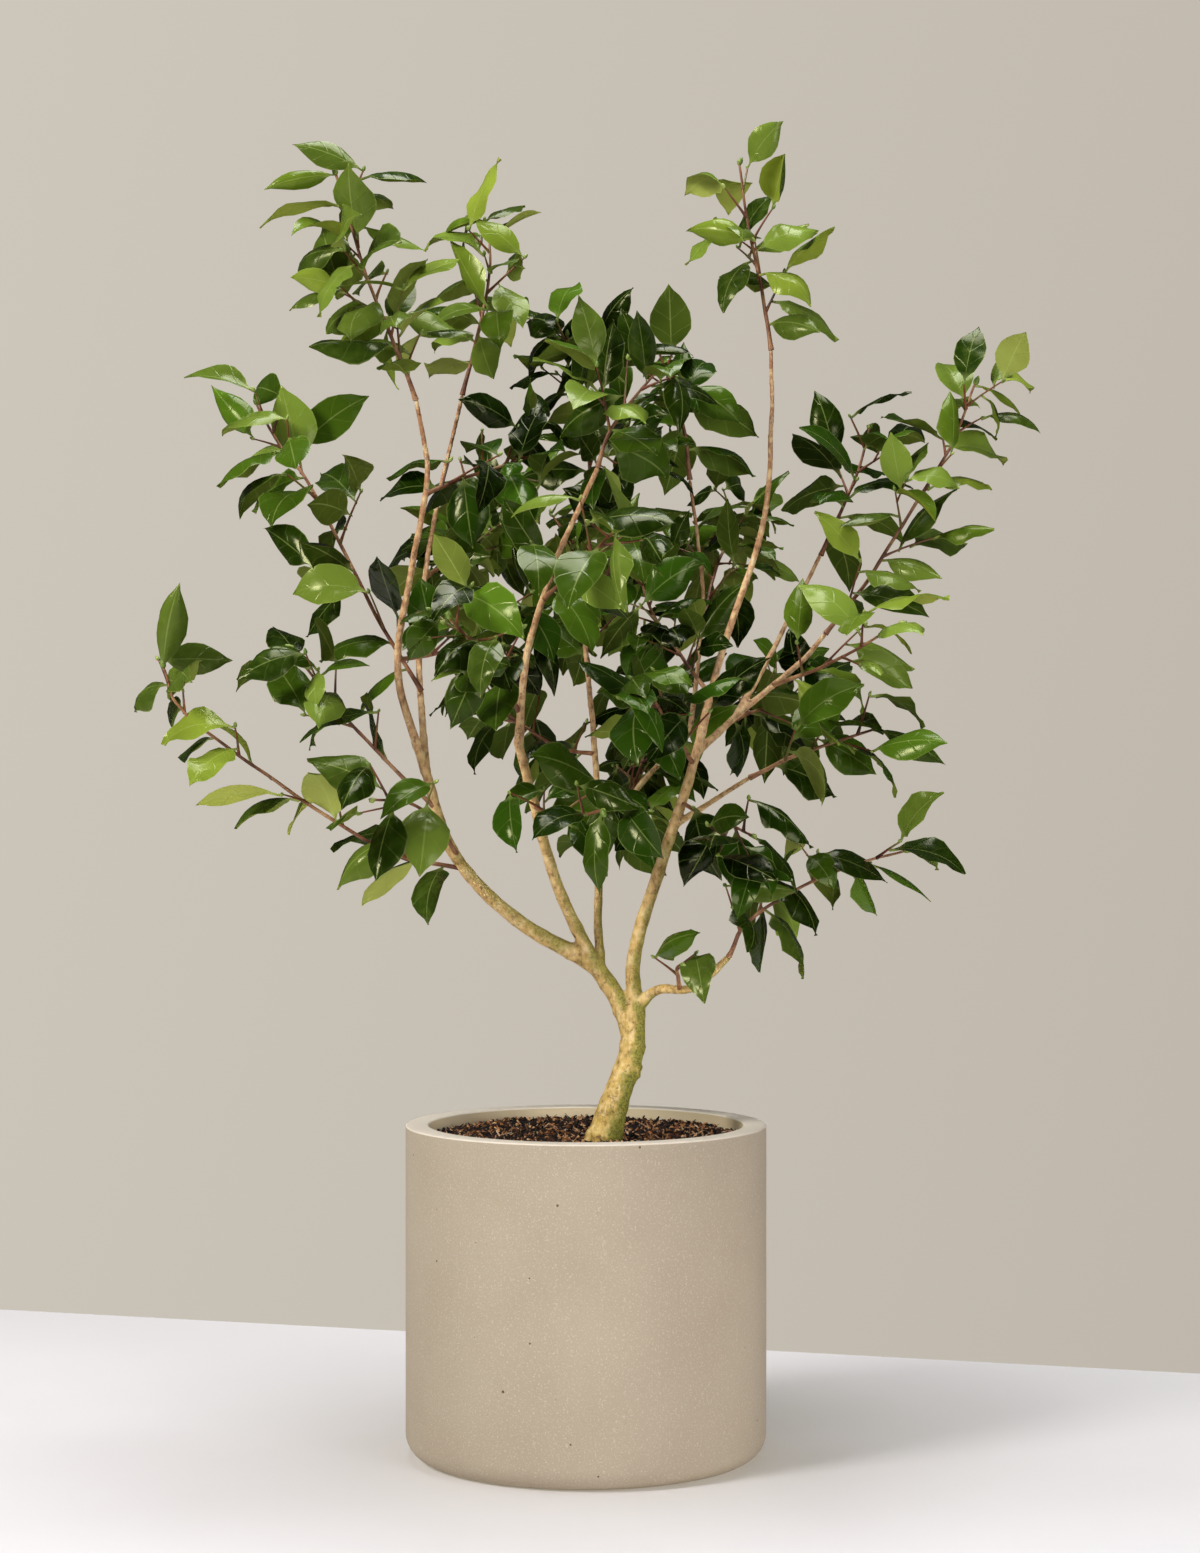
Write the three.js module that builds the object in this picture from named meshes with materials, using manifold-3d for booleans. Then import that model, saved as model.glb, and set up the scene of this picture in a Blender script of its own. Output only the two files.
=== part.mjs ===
// A camellia shrub in a straight-sided round pot: one short leaning trunk that forks low into long bare
// limbs, and an open, upright crown of leafy sprays. Millimetres, +Z up, the pot standing on z = 0.
// The origin is the centre of the pot's flat underside.
//
// Every piece is its own closed solid: the pot, the soil, the trunk, each limb, and each spray of leaves.
// A spray is one stem with twigs that branch by a seeded rule, and leaves fused on to them.
import * as THREE from 'three';
import { mergeVertices } from 'three/addons/utils/BufferGeometryUtils.js';
import Module from 'manifold-3d';

const wasm = await Module();
wasm.setup();

// ---------------------------------------------------------------- driving dimensions
const GAP = 0.3; // clear space between two pieces that touch

const POT = {
  radius: 180,
  height: 330,
  wall: 23,
  floor: 26,
  footRound: 24, // radius of the rounded edge under the foot
  lipRound: 3, // radius of the eased edges of the lip
  sides: 44,
};

const SOIL_TOP = 321; // height of the soil, a little under the lip

// Limbs, from the ground up, each with the limb it grows on. A path starts on that limb's centre line,
// and the radii are spaced evenly from the limb's first point to its last.
const LIMBS = [
  {
    name: 'trunk', radii: [18.5, 13.8, 12.5, 10.9],
    path: [[14, -56, SOIL_TOP - 12], [29, -52, 360], [45, -44, 405], [48, -35, 456]],
  },
  {
    name: 'left_fork', on: 'trunk', radii: [9.5, 8.6],
    path: [[46, -41, 423], [30, -33, 460], [8, -28, 491]],
  },
  {
    name: 'right_leader_low', on: 'trunk', radii: [7.6, 5],
    path: [[48, -35, 452], [48, -41, 502], [75, -54, 595], [97, -61, 660], [113, -62, 718]],
  },
  {
    name: 'right_low_bough', on: 'trunk', radii: [5.6, 3.4],
    path: [[50, -37, 449], [72, -48, 467], [106, -68, 471], [139, -92, 502]],
  },
  {
    name: 'left_bough', on: 'left_fork', radii: [8, 5.4],
    path: [[8, -28, 491], [-71, -45, 538], [-131, -55, 603], [-157, -54, 681]],
  },
  {
    name: 'centre_bough', on: 'left_fork', radii: [6.6, 4.9],
    path: [[8, -28, 491], [-29, -48, 572], [-50, -76, 650], [-65, -92, 708]],
  },
  {
    name: 'back_bough', on: 'left_fork', radii: [4.8, 4.2],
    path: [[14, -30, 490], [12, 0, 545], [14, 40, 610]],
  },
  {
    name: 'left_leader', on: 'left_bough', radii: [5, 2.9],
    path: [[-157, -54, 681], [-184, -64, 782], [-168, -86, 885], [-153, -102, 970], [-163, -115, 1040]],
  },
  {
    name: 'left_second', on: 'left_bough', radii: [4.4, 2.7],
    path: [[-157, -54, 681], [-167, -2, 810], [-155, 38, 930], [-127, 78, 1068]],
  },
  {
    name: 'centre_leader', on: 'centre_bough', radii: [4.8, 3],
    path: [[-65, -92, 708], [-56, -107, 795], [-26, -117, 890], [12, -120, 974]],
  },
  {
    name: 'right_leader_high', on: 'right_leader_low', radii: [4.9, 2.5],
    path: [[113, -62, 718], [134, -56, 800], [174, -47, 922], [183, -41, 1020], [183, -40, 1098]],
  },
  {
    name: 'right_bough', on: 'right_leader_low', radii: [4.3, 3.1],
    path: [[109, -62, 701], [150, -38, 738], [213, 4, 790], [240, 12, 820]],
  },
  {
    name: 'right_second', on: 'right_bough', radii: [3.8, 2.8],
    path: [[148, -39, 736], [192, 20, 812], [240, 80, 904]],
  },
  {
    name: 'right_mid_bough', on: 'right_leader_low', radii: [3.6, 2.7],
    path: [[88, -58, 630], [122, -86, 652], [158, -120, 676]],
  },
  {
    name: 'back_leader', on: 'back_bough', radii: [4.1, 2.9],
    path: [[14, 40, 610], [8, 92, 715], [-2, 118, 839], [4, 130, 965]],
  },
  {
    name: 'back_right_bough', on: 'back_bough', radii: [3.9, 3.2],
    path: [[14, 40, 610], [52, 98, 664], [109, 160, 726]],
  },
  {
    name: 'back_right_leader', on: 'back_right_bough', radii: [3.2, 2.5],
    path: [[109, 160, 726], [122, 152, 860], [107, 110, 984]],
  },
];

// Sprays: the limb each grows on, the seed of its branching, and the path of its stem from that limb to
// its tip. All that the stem carries stays within its reach of that path.
const SPRAYS = [
  {
    name: 'left_low_spray', on: 'left_bough', seed: 21, reach: 74,
    path: [[-118, -53, 586], [-196, -70, 605], [-300, -92, 672], [-388, -100, 738], [-408, -100, 782]],
  },
  {
    name: 'left_hanging_spray', on: 'left_bough', seed: 13, reach: 84,
    path: [[-126, -55, 600], [-146, -98, 634], [-170, -135, 652], [-200, -165, 655]],
  },
  {
    name: 'left_mid_spray', on: 'left_bough', seed: 35, reach: 90,
    path: [[-147, -56, 645], [-206, -80, 704], [-250, -95, 755], [-282, -105, 800]],
  },
  {
    name: 'left_upper_spray', on: 'left_second', seed: 40, reach: 88,
    path: [[-163, -25, 762], [-210, -15, 840], [-275, 2, 965], [-308, 10, 1010], [-330, 12, 1050]],
  },
  {
    name: 'top_left_spray', on: 'left_leader', seed: 14, reach: 88,
    path: [[-163, -115, 1040], [-190, -120, 1108], [-210, -122, 1158], [-240, -118, 1256]],
  },
  {
    name: 'top_left_inner_spray', on: 'left_second', seed: 44, reach: 90,
    path: [[-127, 78, 1068], [-110, 86, 1139], [-100, 88, 1190], [-100, 90, 1232]],
  },
  {
    name: 'inner_left_spray', on: 'left_leader', seed: 38, reach: 88,
    path: [[-155, -98, 950], [-125, -60, 968], [-85, -20, 985], [-50, 25, 1002]],
  },
  {
    name: 'inner_low_spray', on: 'left_leader', seed: 68, reach: 84,
    path: [[-184, -66, 791], [-140, -40, 800], [-95, -18, 815], [-48, 0, 832]],
  },
  {
    name: 'crown_top_spray', on: 'back_leader', seed: 81, reach: 100,
    path: [[4, 130, 965], [2, 134, 1030], [-7, 130, 1085], [-20, 125, 1135]],
  },
  {
    name: 'crown_front_spray', on: 'centre_leader', seed: 78, reach: 100,
    path: [[12, -120, 974], [22, -124, 1006], [42, -128, 1034], [66, -132, 1062]],
  },
  {
    name: 'crown_inner_spray', on: 'back_leader', seed: 19, reach: 84,
    path: [[-2, 118, 845], [28, 80, 900], [40, 40, 950], [30, 5, 1010]],
  },
  {
    name: 'crown_right_spray', on: 'back_right_leader', seed: 18, reach: 88,
    path: [[107, 110, 984], [101, 106, 1036], [89, 100, 1075], [76, 96, 1112]],
  },
  {
    name: 'top_right_spray', on: 'right_leader_high', seed: 3, reach: 78,
    path: [[183, -40, 1098], [174, -35, 1159], [162, -30, 1215], [152, -25, 1284]],
  },
  {
    name: 'right_upper_spray', on: 'right_bough', seed: 73, reach: 84,
    path: [[240, 12, 820], [284, 22, 876], [332, 30, 952], [368, 28, 1010], [392, 25, 1072]],
  },
  {
    name: 'right_inner_spray', on: 'right_second', seed: 9, reach: 86,
    path: [[240, 80, 904], [262, 92, 950], [280, 98, 992], [292, 100, 1036]],
  },
  {
    name: 'right_middle_spray', on: 'right_bough', seed: 8, reach: 86,
    path: [[186, -14, 768], [226, -56, 782], [262, -96, 800], [300, -125, 822]],
  },
  {
    name: 'right_mid_spray', on: 'right_mid_bough', seed: 10, reach: 86,
    path: [[158, -120, 676], [196, -135, 695], [238, -145, 710], [275, -150, 722]],
  },
  {
    name: 'right_low_spray', on: 'right_low_bough', seed: 57, reach: 84,
    path: [[139, -92, 502], [155, -106, 534], [197, -120, 565], [250, -130, 590], [305, -135, 606]],
  },
  {
    name: 'right_low_tuft', on: 'right_low_bough', seed: 1, reach: 66,
    path: [[92, -60, 468], [90, -84, 482], [88, -112, 492], [92, -142, 498]],
  },
  {
    name: 'right_front_low_spray', on: 'right_leader_low', seed: 13, reach: 84,
    path: [[94, -60, 651], [114, -106, 640], [138, -148, 630], [158, -190, 622]],
  },
  {
    name: 'centre_low_spray', on: 'centre_bough', seed: 89, reach: 94,
    path: [[-50, -76, 648], [-30, -130, 640], [-4, -186, 640], [16, -238, 646]],
  },
  {
    name: 'front_right_spray', on: 'right_leader_low', seed: 4, reach: 94,
    path: [[105, -62, 690], [92, -120, 707], [76, -190, 730], [64, -262, 747]],
  },
  {
    name: 'front_left_spray', on: 'centre_leader', seed: 74, reach: 94,
    path: [[-64, -98, 740], [-84, -160, 778], [-106, -230, 803], [-122, -298, 820]],
  },
  {
    name: 'front_centre_spray', on: 'centre_leader', seed: 20, reach: 98,
    path: [[-40, -113, 848], [-14, -180, 868], [10, -250, 885], [28, -306, 899]],
  },
  {
    name: 'centre_inner_spray', on: 'right_leader_high', seed: 39, reach: 84,
    path: [[122, -60, 757], [92, -30, 800], [66, -8, 842], [52, 8, 884]],
  },
  {
    name: 'back_left_spray', on: 'left_second', seed: 59, reach: 96,
    path: [[-160, 24, 880], [-135, 90, 900], [-113, 165, 926], [-96, 240, 946], [-84, 305, 958]],
  },
  {
    name: 'back_low_spray', on: 'back_bough', seed: 86, reach: 94,
    path: [[13, 30, 595], [38, 100, 640], [60, 190, 700], [68, 280, 758]],
  },
  {
    name: 'back_centre_spray', on: 'back_leader', seed: 43, reach: 94,
    path: [[3, 105, 780], [-6, 180, 850], [-12, 250, 905], [-16, 315, 940]],
  },
  {
    name: 'back_right_spray', on: 'back_right_leader', seed: 67, reach: 94,
    path: [[121, 156, 830], [136, 210, 893], [154, 270, 935], [164, 325, 962]],
  },
  {
    name: 'back_left_low_spray', on: 'back_leader', seed: 20, reach: 92,
    path: [[9, 85, 700], [-34, 150, 708], [-72, 215, 735], [-104, 275, 755]],
  },
  {
    name: 'back_right_low_spray', on: 'right_bough', seed: 47, reach: 92,
    path: [[138, -46, 728], [172, 40, 744], [196, 130, 752], [210, 215, 765]],
  },
];

const LIMB_STEP = 52; // length of one straight stretch of a limb
const STEM = { base: 2.6, tip: 1.5, sides: 3, step: 60 };
const TWIG = {
  radii: [1.9, 1.4], // where it leaves the stem, and at its end
  collar: 4, // how far out it reaches its full thickness
  every: 34, // along the stem
  length: [0.5, 0.8], // of the spray's reach
  bare: 26, // length of stem, from its root, that carries none
  leaves: [1, 0.3, 0.55, 0.8, 1], // where along a twig they stand, the first one ending it
};

// A leaf: a blade whose half-width is given at two places, with a keel under it.
const LEAF = {
  length: [66, 88],
  width: 0.58, // of the length
  keel: 1.9,
  every: 20, // along the stem
  margins: [[0.36, 0.47], [0.72, 0.37]], // share of the length, share of the width
  grid: [[0.16, 0.16], [0.33, 0.4], [0.5, 0.45], [0.67, 0.4], [0.84, 0.22], [1, 0]], // spread over it
  arch: [0.05, 0.28], // how far the tip hangs, of the length
  room: [0.27, 0.21, 0.1], // a leaf keeps to itself this much of its length along, across and above it
  tries: 4,
};

const SUNK = 0.4; // how far the root of a leaf or twig reaches past the centre line of what carries it
const LIMB_CLEARANCE = 2.2; // between a limb and the edge of any leaf or twig it doesn't carry
const MIDDLE_CLEARANCE = 9; // between a limb and the centre line of a leaf
const TWIG_CLEARANCE = 5; // between a leaf and the twigs of its own spray
const SPACE_MARGIN = 2.5; // how much nearer to its own stem than to another's a point has to be

// How far leaves point up or down: low in the crown they hang, and high in it they are held level.
const HANG = { from: 480, to: 950, low: [-0.9, 0], high: [-0.4, 0.3] };

// The crown is open in front: few leaves hang between these limbs and someone who stands before them.
const IN_SIGHT = [
  'left_bough', 'left_leader', 'left_second', 'centre_bough', 'centre_leader', 'right_leader_low',
  'right_leader_high', 'right_bough',
];
const EYE = new THREE.Vector3(14, -3100, 677); // where that someone looks from
const SIGHT_CLEARANCE = 6; // between such a limb and a leaf before it, as seen from there
const MAY_HIDE = 0.12; // share of the leaves that may hang before them all the same

const UP = new THREE.Vector3(0, 0, 1);
const CROWN_CENTRE = new THREE.Vector3(25, -10, 0); // leaves point away from this upright line
const WINDOW = new THREE.Vector3(-0.35, -0.75, 0.55).normalize(); // where most light comes from
const GOLDEN_ANGLE = 2.39996;

// ---------------------------------------------------------------- small tools
const vector = ([x, y, z]) => new THREE.Vector3(x, y, z);
const mix = (low, high, share) => low + (high - low) * share;

// A repeatable stream of numbers from 0 to 1. The same seed always gives the same spray.
function numberStream(seed) {
  let state = Math.imul(seed, 2654435761) >>> 0;
  return () => {
    state = (Math.imul(state, 1664525) + 1013904223) >>> 0;
    return state / 4294967296;
  };
}

function smoothPath(points) {
  return new THREE.CatmullRomCurve3(points.map(vector), false, 'catmullrom', 0.5);
}

// The closed solid of a geometry, with its shared vertices merged.
function solid(geometry) {
  geometry.deleteAttribute('normal');
  geometry.deleteAttribute('uv');
  const merged = mergeVertices(geometry, 1e-4);
  const index = merged.index.array;
  const faces = [];
  for (let i = 0; i < index.length; i += 3) {
    const [a, b, c] = [index[i], index[i + 1], index[i + 2]];
    if (a !== b && b !== c && c !== a) faces.push(a, b, c);
  }
  const vertProperties = merged.attributes.position.array;
  const triVerts = new Uint32Array(faces);
  return new wasm.Manifold(new wasm.Mesh({ numProp: 3, vertProperties, triVerts }));
}

function largestBody(shape) {
  return shape.decompose().reduce((best, body) => (body.volume() > best.volume() ? body : best));
}

function named(name, shape, material) {
  const { vertProperties, triVerts } = shape.getMesh();
  const geometry = new THREE.BufferGeometry();
  geometry.setAttribute('position', new THREE.BufferAttribute(vertProperties, 3));
  geometry.setIndex(new THREE.BufferAttribute(triVerts, 1));
  geometry.computeVertexNormals();
  const mesh = new THREE.Mesh(geometry, material);
  mesh.name = name;
  return mesh;
}

function radiusAt(radii, along) {
  const place = along * (radii.length - 1);
  const before = Math.min(radii.length - 2, Math.floor(place));
  return mix(radii[before], radii[before + 1], place - before);
}

// A tapering round limb along a curve: a capped cylinder whose rings are carried on to the curve.
// `swell` adds to every radius, and reaches as far past both ends.
function limbSolid(curve, radii, sides, steps, swell = 0) {
  const geometry = new THREE.CylinderGeometry(1, 1, 1, sides, steps);
  const frames = curve.computeFrenetFrames(steps);
  const position = geometry.attributes.position;
  const point = new THREE.Vector3();
  for (let i = 0; i < position.count; i += 1) {
    const row = Math.round((position.getY(i) + 0.5) * steps);
    const radius = radiusAt(radii, row / steps) + swell;
    const past = row === 0 ? -swell : row === steps ? swell : 0;
    curve.getPoint(row / steps, point);
    point.addScaledVector(frames.tangents[row], past);
    point.addScaledVector(frames.binormals[row], position.getX(i) * radius);
    point.addScaledVector(frames.normals[row], position.getZ(i) * radius);
    position.setXYZ(i, point.x, point.y, point.z);
  }
  return solid(geometry);
}

// A thin body of three-sided sections between two points, such as a twig or a leaf: a sphere of three
// sides whose poles are the two ends and whose rows are the sections. The corners of a section go round
// anticlockwise as seen from the root.
function lofted(root, sections, tip) {
  const rows = sections.length + 1;
  const geometry = new THREE.SphereGeometry(1, 3, rows);
  const { position, uv } = geometry.attributes;
  for (let i = 0; i < position.count; i += 1) {
    const row = Math.round((1 - uv.getY(i)) * rows);
    const corner = Math.round(uv.getX(i) * 3) % 3;
    const point = row === 0 ? root : row === rows ? tip : sections[row - 1][corner];
    position.setXYZ(i, point.x, point.y, point.z);
  }
  return solid(geometry);
}

// ---------------------------------------------------------------- pot and soil
function quarterRound(centre, radius, fromAngle, steps) {
  const points = [];
  for (let i = 0; i <= steps; i += 1) {
    const angle = fromAngle + (i / steps) * (Math.PI / 2);
    const across = centre[0] + radius * Math.cos(angle);
    points.push(new THREE.Vector2(across, centre[1] + radius * Math.sin(angle)));
  }
  return points;
}

function turned(profile) {
  return solid(new THREE.LatheGeometry(profile, POT.sides).rotateX(Math.PI / 2));
}

function potSolid() {
  const { radius, height, wall, floor, footRound, lipRound } = POT;
  const inner = radius - wall;
  return turned([
    new THREE.Vector2(0, 0),
    ...quarterRound([radius - footRound, footRound], footRound, -Math.PI / 2, 4),
    ...quarterRound([radius - lipRound, height - lipRound], lipRound, 0, 1),
    ...quarterRound([inner + lipRound, height - lipRound], lipRound, Math.PI / 2, 1),
    new THREE.Vector2(inner, floor),
    new THREE.Vector2(0, floor),
  ]);
}

function soilSolid() {
  const reach = POT.radius - POT.wall - GAP;
  const bottom = POT.floor + GAP;
  return turned([
    new THREE.Vector2(0, bottom),
    new THREE.Vector2(reach, bottom),
    new THREE.Vector2(reach, SOIL_TOP - 4),
    new THREE.Vector2(reach - 9, SOIL_TOP),
    new THREE.Vector2(0, SOIL_TOP),
  ]);
}

// ---------------------------------------------------------------- trunk and limbs
for (const limb of LIMBS) {
  limb.curve = smoothPath(limb.path);
  limb.steps = Math.max(3, Math.round(limb.curve.getLength() / LIMB_STEP));
  limb.sides = limb.radii[0] > 9 ? 10 : limb.radii[0] > 5 ? 6 : 5;
}

// Each limb is cut back from those before it in the list, grown by the gap, and the trunk's foot is
// cut level just above the soil.
function limbSolids() {
  const grown = [];
  return LIMBS.map((limb) => {
    let shape = limbSolid(limb.curve, limb.radii, limb.sides, limb.steps);
    shape = shape.trimByPlane([0, 0, 1], SOIL_TOP + GAP);
    for (const other of grown) shape = largestBody(shape.subtract(other));
    limb.grown = limbSolid(limb.curve, limb.radii, limb.sides, limb.steps, GAP * 1.1);
    grown.push(limb.grown);
    return { name: limb.name, on: limb.on, shape };
  });
}

// ---------------------------------------------------------------- each spray's own space
for (const spray of SPRAYS) {
  spray.curve = smoothPath(spray.path);
  spray.length = spray.curve.getLength();
  spray.line = spray.curve.getPoints(8);
}

// Where a point is seen from the eye, on an upright pane through the origin.
function seen(point) {
  const share = -EYE.y / (point.y - EYE.y);
  return new THREE.Vector3((point.x - EYE.x) * share, 0, (point.z - EYE.z) * share);
}

for (const limb of LIMBS) {
  limb.line = limb.curve.getPoints(12);
  limb.seenLine = limb.line.map(seen);
}
const limbsInSight = LIMBS.filter((limb) => IN_SIGHT.includes(limb.name));

// How far a point is from a line of straight stretches, and where along it, from 0 to 1, that is.
function nearest(point, line) {
  let best = { distance: Infinity, along: 0 };
  const stretch = new THREE.Vector3();
  const off = new THREE.Vector3();
  for (let i = 0; i + 1 < line.length; i += 1) {
    stretch.subVectors(line[i + 1], line[i]);
    off.subVectors(point, line[i]);
    const share = Math.min(1, Math.max(0, off.dot(stretch) / stretch.lengthSq()));
    const distance = off.addScaledVector(stretch, -share).length();
    if (distance < best.distance) best = { distance, along: (i + share) / (line.length - 1) };
  }
  return best;
}

function clearOfLimbs(point, clearance) {
  return LIMBS.every((limb) => {
    const { distance, along } = nearest(point, limb.line);
    return distance > radiusAt(limb.radii, along) + clearance;
  });
}

function inSpace(point, spray) {
  const own = nearest(point, spray.line).distance;
  if (own > spray.reach || point.z < SOIL_TOP + 20) return false;
  return SPRAYS.every((other) => other === spray || nearest(point, other.line).distance > own + SPACE_MARGIN);
}

function fits(points, spray, clearance) {
  return points.every((point) => inSpace(point, spray) && clearOfLimbs(point, clearance));
}

// Whether a point stands before a limb that is to stay in sight.
function hides(point) {
  const place = seen(point);
  return limbsInSight.some((limb) => {
    const { distance, along } = nearest(place, limb.seenLine);
    if (distance > radiusAt(limb.radii, along) + SIGHT_CLEARANCE) return false;
    return point.y < limb.line[Math.round(along * (limb.line.length - 1))].y;
  });
}

// ---------------------------------------------------------------- leaves
// A leaf's centre line hangs a little more with each step away from its root.
function leafPoint(leaf, at, across) {
  return leaf.root
    .clone()
    .addScaledVector(leaf.along, at * leaf.length)
    .addScaledVector(UP, -leaf.arch * at * at * leaf.length)
    .addScaledVector(leaf.side, across * leaf.length * LEAF.width);
}

function leafOutline(leaf) {
  const points = [leafPoint(leaf, 1, 0)];
  for (const [at, half] of [...LEAF.margins, [0.54, 0.47], [0.88, 0.18]]) {
    points.push(leafPoint(leaf, at, half), leafPoint(leaf, at, -half));
  }
  return points;
}

// Points spread over a blade.
function leafGrid(leaf) {
  return LEAF.grid.flatMap(([at, half]) => [-half, 0, half].map((across) => leafPoint(leaf, at, across)));
}

// Each section of the blade has a point on either margin and one under the middle, so that the upper
// side is flat across and the underside slopes down to the keel.
function bladeSections(leaf) {
  return LEAF.margins.map(([at, half]) => [
    leafPoint(leaf, at, -half),
    leafPoint(leaf, at, 0).addScaledVector(leaf.face, -LEAF.keel),
    leafPoint(leaf, at, half),
  ]);
}

const leafSolid = (leaf) => lofted(leaf.root, bladeSections(leaf), leafPoint(leaf, 1, 0));

// Where a leaf grows from, which way it points and which way its upper face looks.
function leafFrom(point, heading, away, random) {
  const draws = Array.from({ length: 8 }, random);
  const outward = point.clone().sub(CROWN_CENTRE).setZ(0).normalize();
  const climb = Math.min(1, Math.max(0, (point.z - HANG.from) / (HANG.to - HANG.from)));
  const along = heading.clone().multiplyScalar(0.4);
  along.addScaledVector(away, 0.85).addScaledVector(outward, 0.45);
  along.x += mix(-0.4, 0.4, draws[0]);
  along.y += mix(-0.4, 0.4, draws[1]);
  along.z += mix(mix(HANG.low[0], HANG.high[0], climb), mix(HANG.low[1], HANG.high[1], climb), draws[2]);
  along.normalize();
  const face = UP.clone().multiplyScalar(0.4);
  face.addScaledVector(outward, 0.35).addScaledVector(WINDOW, 1);
  face.x += mix(-0.5, 0.5, draws[3]);
  face.y += mix(-0.6, 0.9, draws[4]);
  face.addScaledVector(along, -face.dot(along)).normalize();
  return {
    root: point.clone().addScaledVector(along, -SUNK),
    along,
    face,
    side: along.clone().cross(face),
    length: mix(...LEAF.length, draws[5]),
    arch: mix(...LEAF.arch, draws[6]),
    mayHide: draws[7] < MAY_HIDE,
  };
}

// Half the room a leaf takes up in one direction.
function roomToward(leaf, direction) {
  const [along, across, above] = LEAF.room;
  return leaf.length * Math.hypot(
    along * leaf.along.dot(direction),
    across * leaf.side.dot(direction),
    above * leaf.face.dot(direction),
  );
}

function crowds(leaf, other) {
  return [0.32, 0.62, 0.9].some((at) => [0.32, 0.62, 0.9].some((otherAt) => {
    const between = leafPoint(other, otherAt, 0).sub(leafPoint(leaf, at, 0));
    const distance = between.length();
    between.divideScalar(distance || 1);
    return distance < roomToward(leaf, between) + roomToward(other, between);
  }));
}

// ---------------------------------------------------------------- sprays
// Two directions square to a heading, the first of them level.
function squareTo(heading) {
  const level = heading.clone().cross(UP);
  if (level.lengthSq() < 1e-6) level.set(1, 0, 0);
  level.normalize();
  return [level, level.clone().cross(heading).normalize()];
}

function awayFrom(heading, angle) {
  const [level, lifted] = squareTo(heading);
  return level.multiplyScalar(Math.cos(angle)).addScaledVector(lifted, Math.sin(angle));
}

// Twigs leave the stem by the golden angle and turn up a little. One that would leave the spray's
// space or meet a limb is left out.
function growTwigs(spray, random) {
  const twigs = [];
  const count = Math.max(3, Math.round(spray.length / TWIG.every));
  for (let i = 0; i < count; i += 1) {
    const at = mix(TWIG.bare / spray.length, 0.95, (i + 0.5) / count);
    const start = spray.curve.getPoint(at);
    const heading = spray.curve.getTangent(at);
    const turn = i * GOLDEN_ANGLE + random() * 0.6;
    const length = spray.reach * mix(...TWIG.length, random()) * mix(1, 0.6, at);
    const leave = heading.clone().multiplyScalar(0.6);
    leave.addScaledVector(awayFrom(heading, turn), 0.8).addScaledVector(UP, 0.3).normalize();
    const tip = start.clone().addScaledVector(leave, length);
    const points = [start.clone().lerp(tip, 0.5), start.clone().lerp(tip, 0.75), tip];
    if (fits(points, spray, LIMB_CLEARANCE)) twigs.push({ start, tip, leave });
  }
  return twigs;
}

// Leaves stand on alternate sides of a twig and two end it, more stand on the stem itself, closest at
// its tip. Each place has a few tries, and stays empty if none has room.
function growLeaves(spray, twigs, random) {
  const leaves = [];

  const lines = [spray.line, ...twigs.map((twig) => [twig.start, twig.tip])];
  const clearOfTwigs = (point) => lines.every((line) => nearest(point, line).distance > TWIG_CLEARANCE);

  const hasRoom = (leaf) => {
    const middles = [0.3, 0.55, 0.8].map((at) => leafPoint(leaf, at, 0));
    const outline = leafOutline(leaf);
    return !leaves.some((other) => crowds(leaf, other))
      && fits(outline, spray, LIMB_CLEARANCE)
      && fits(middles, spray, MIDDLE_CLEARANCE)
      && (leaf.mayHide || !leafGrid(leaf).some(hides))
      && [...middles, ...outline].every(clearOfTwigs);
  };
  const addLeaf = (point, heading, angle) => {
    const tries = [];
    for (let i = 0; i < LEAF.tries; i += 1) {
      tries.push(leafFrom(point, heading, awayFrom(heading, angle + i * 1.3), random));
    }
    const leaf = tries.find(hasRoom);
    if (leaf) leaves.push(leaf);
    return leaf;
  };

  for (const twig of twigs) {
    twig.reach = 0;
    TWIG.leaves.forEach((share, i) => {
      const angle = i * Math.PI + mix(-0.5, 0.5, random());
      const leaf = addLeaf(twig.start.clone().lerp(twig.tip, share), twig.leave, angle);
      if (leaf) twig.reach = Math.max(twig.reach, share);
      if (leaf && i === 0) {
        twig.leaf = leaf;
        leaf.endsTwig = true;
      }
    });
  }
  const count = Math.round(spray.length / LEAF.every);
  for (let i = 0; i < count + 4; i += 1) {
    const at = i < count ? mix(TWIG.bare / spray.length, 0.95, i / count) : 1 - 0.05 * (i - count);
    addLeaf(spray.curve.getPoint(at), spray.curve.getTangent(at), i * GOLDEN_ANGLE + 2.6);
  }
  return leaves;
}

// A twig runs on into the leaf that ends it, or else into a bud.
function twigSolid({ start, tip, leave, reach, leaf }) {
  const [side, face] = leaf ? [leaf.side, leaf.face] : squareTo(leave);
  const ring = (centre, radius) => [-0.87, 0, 0.87].map((across) => centre.clone()
    .addScaledVector(side, across * radius)
    .addScaledVector(face, across === 0 ? -radius : radius / 2));
  const collar = start.clone().addScaledVector(leave, TWIG.collar);
  const end = start.clone().lerp(tip, reach);
  const sections = [ring(collar, TWIG.radii[0]), ring(end, TWIG.radii[1])];
  const root = start.clone().addScaledVector(leave, -SUNK);
  if (leaf) return lofted(root, [...sections, ...bladeSections(leaf)], leafPoint(leaf, 1, 0));
  return lofted(root, sections, end.clone().addScaledVector(leave, 2 * TWIG.radii[1]));
}

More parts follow.
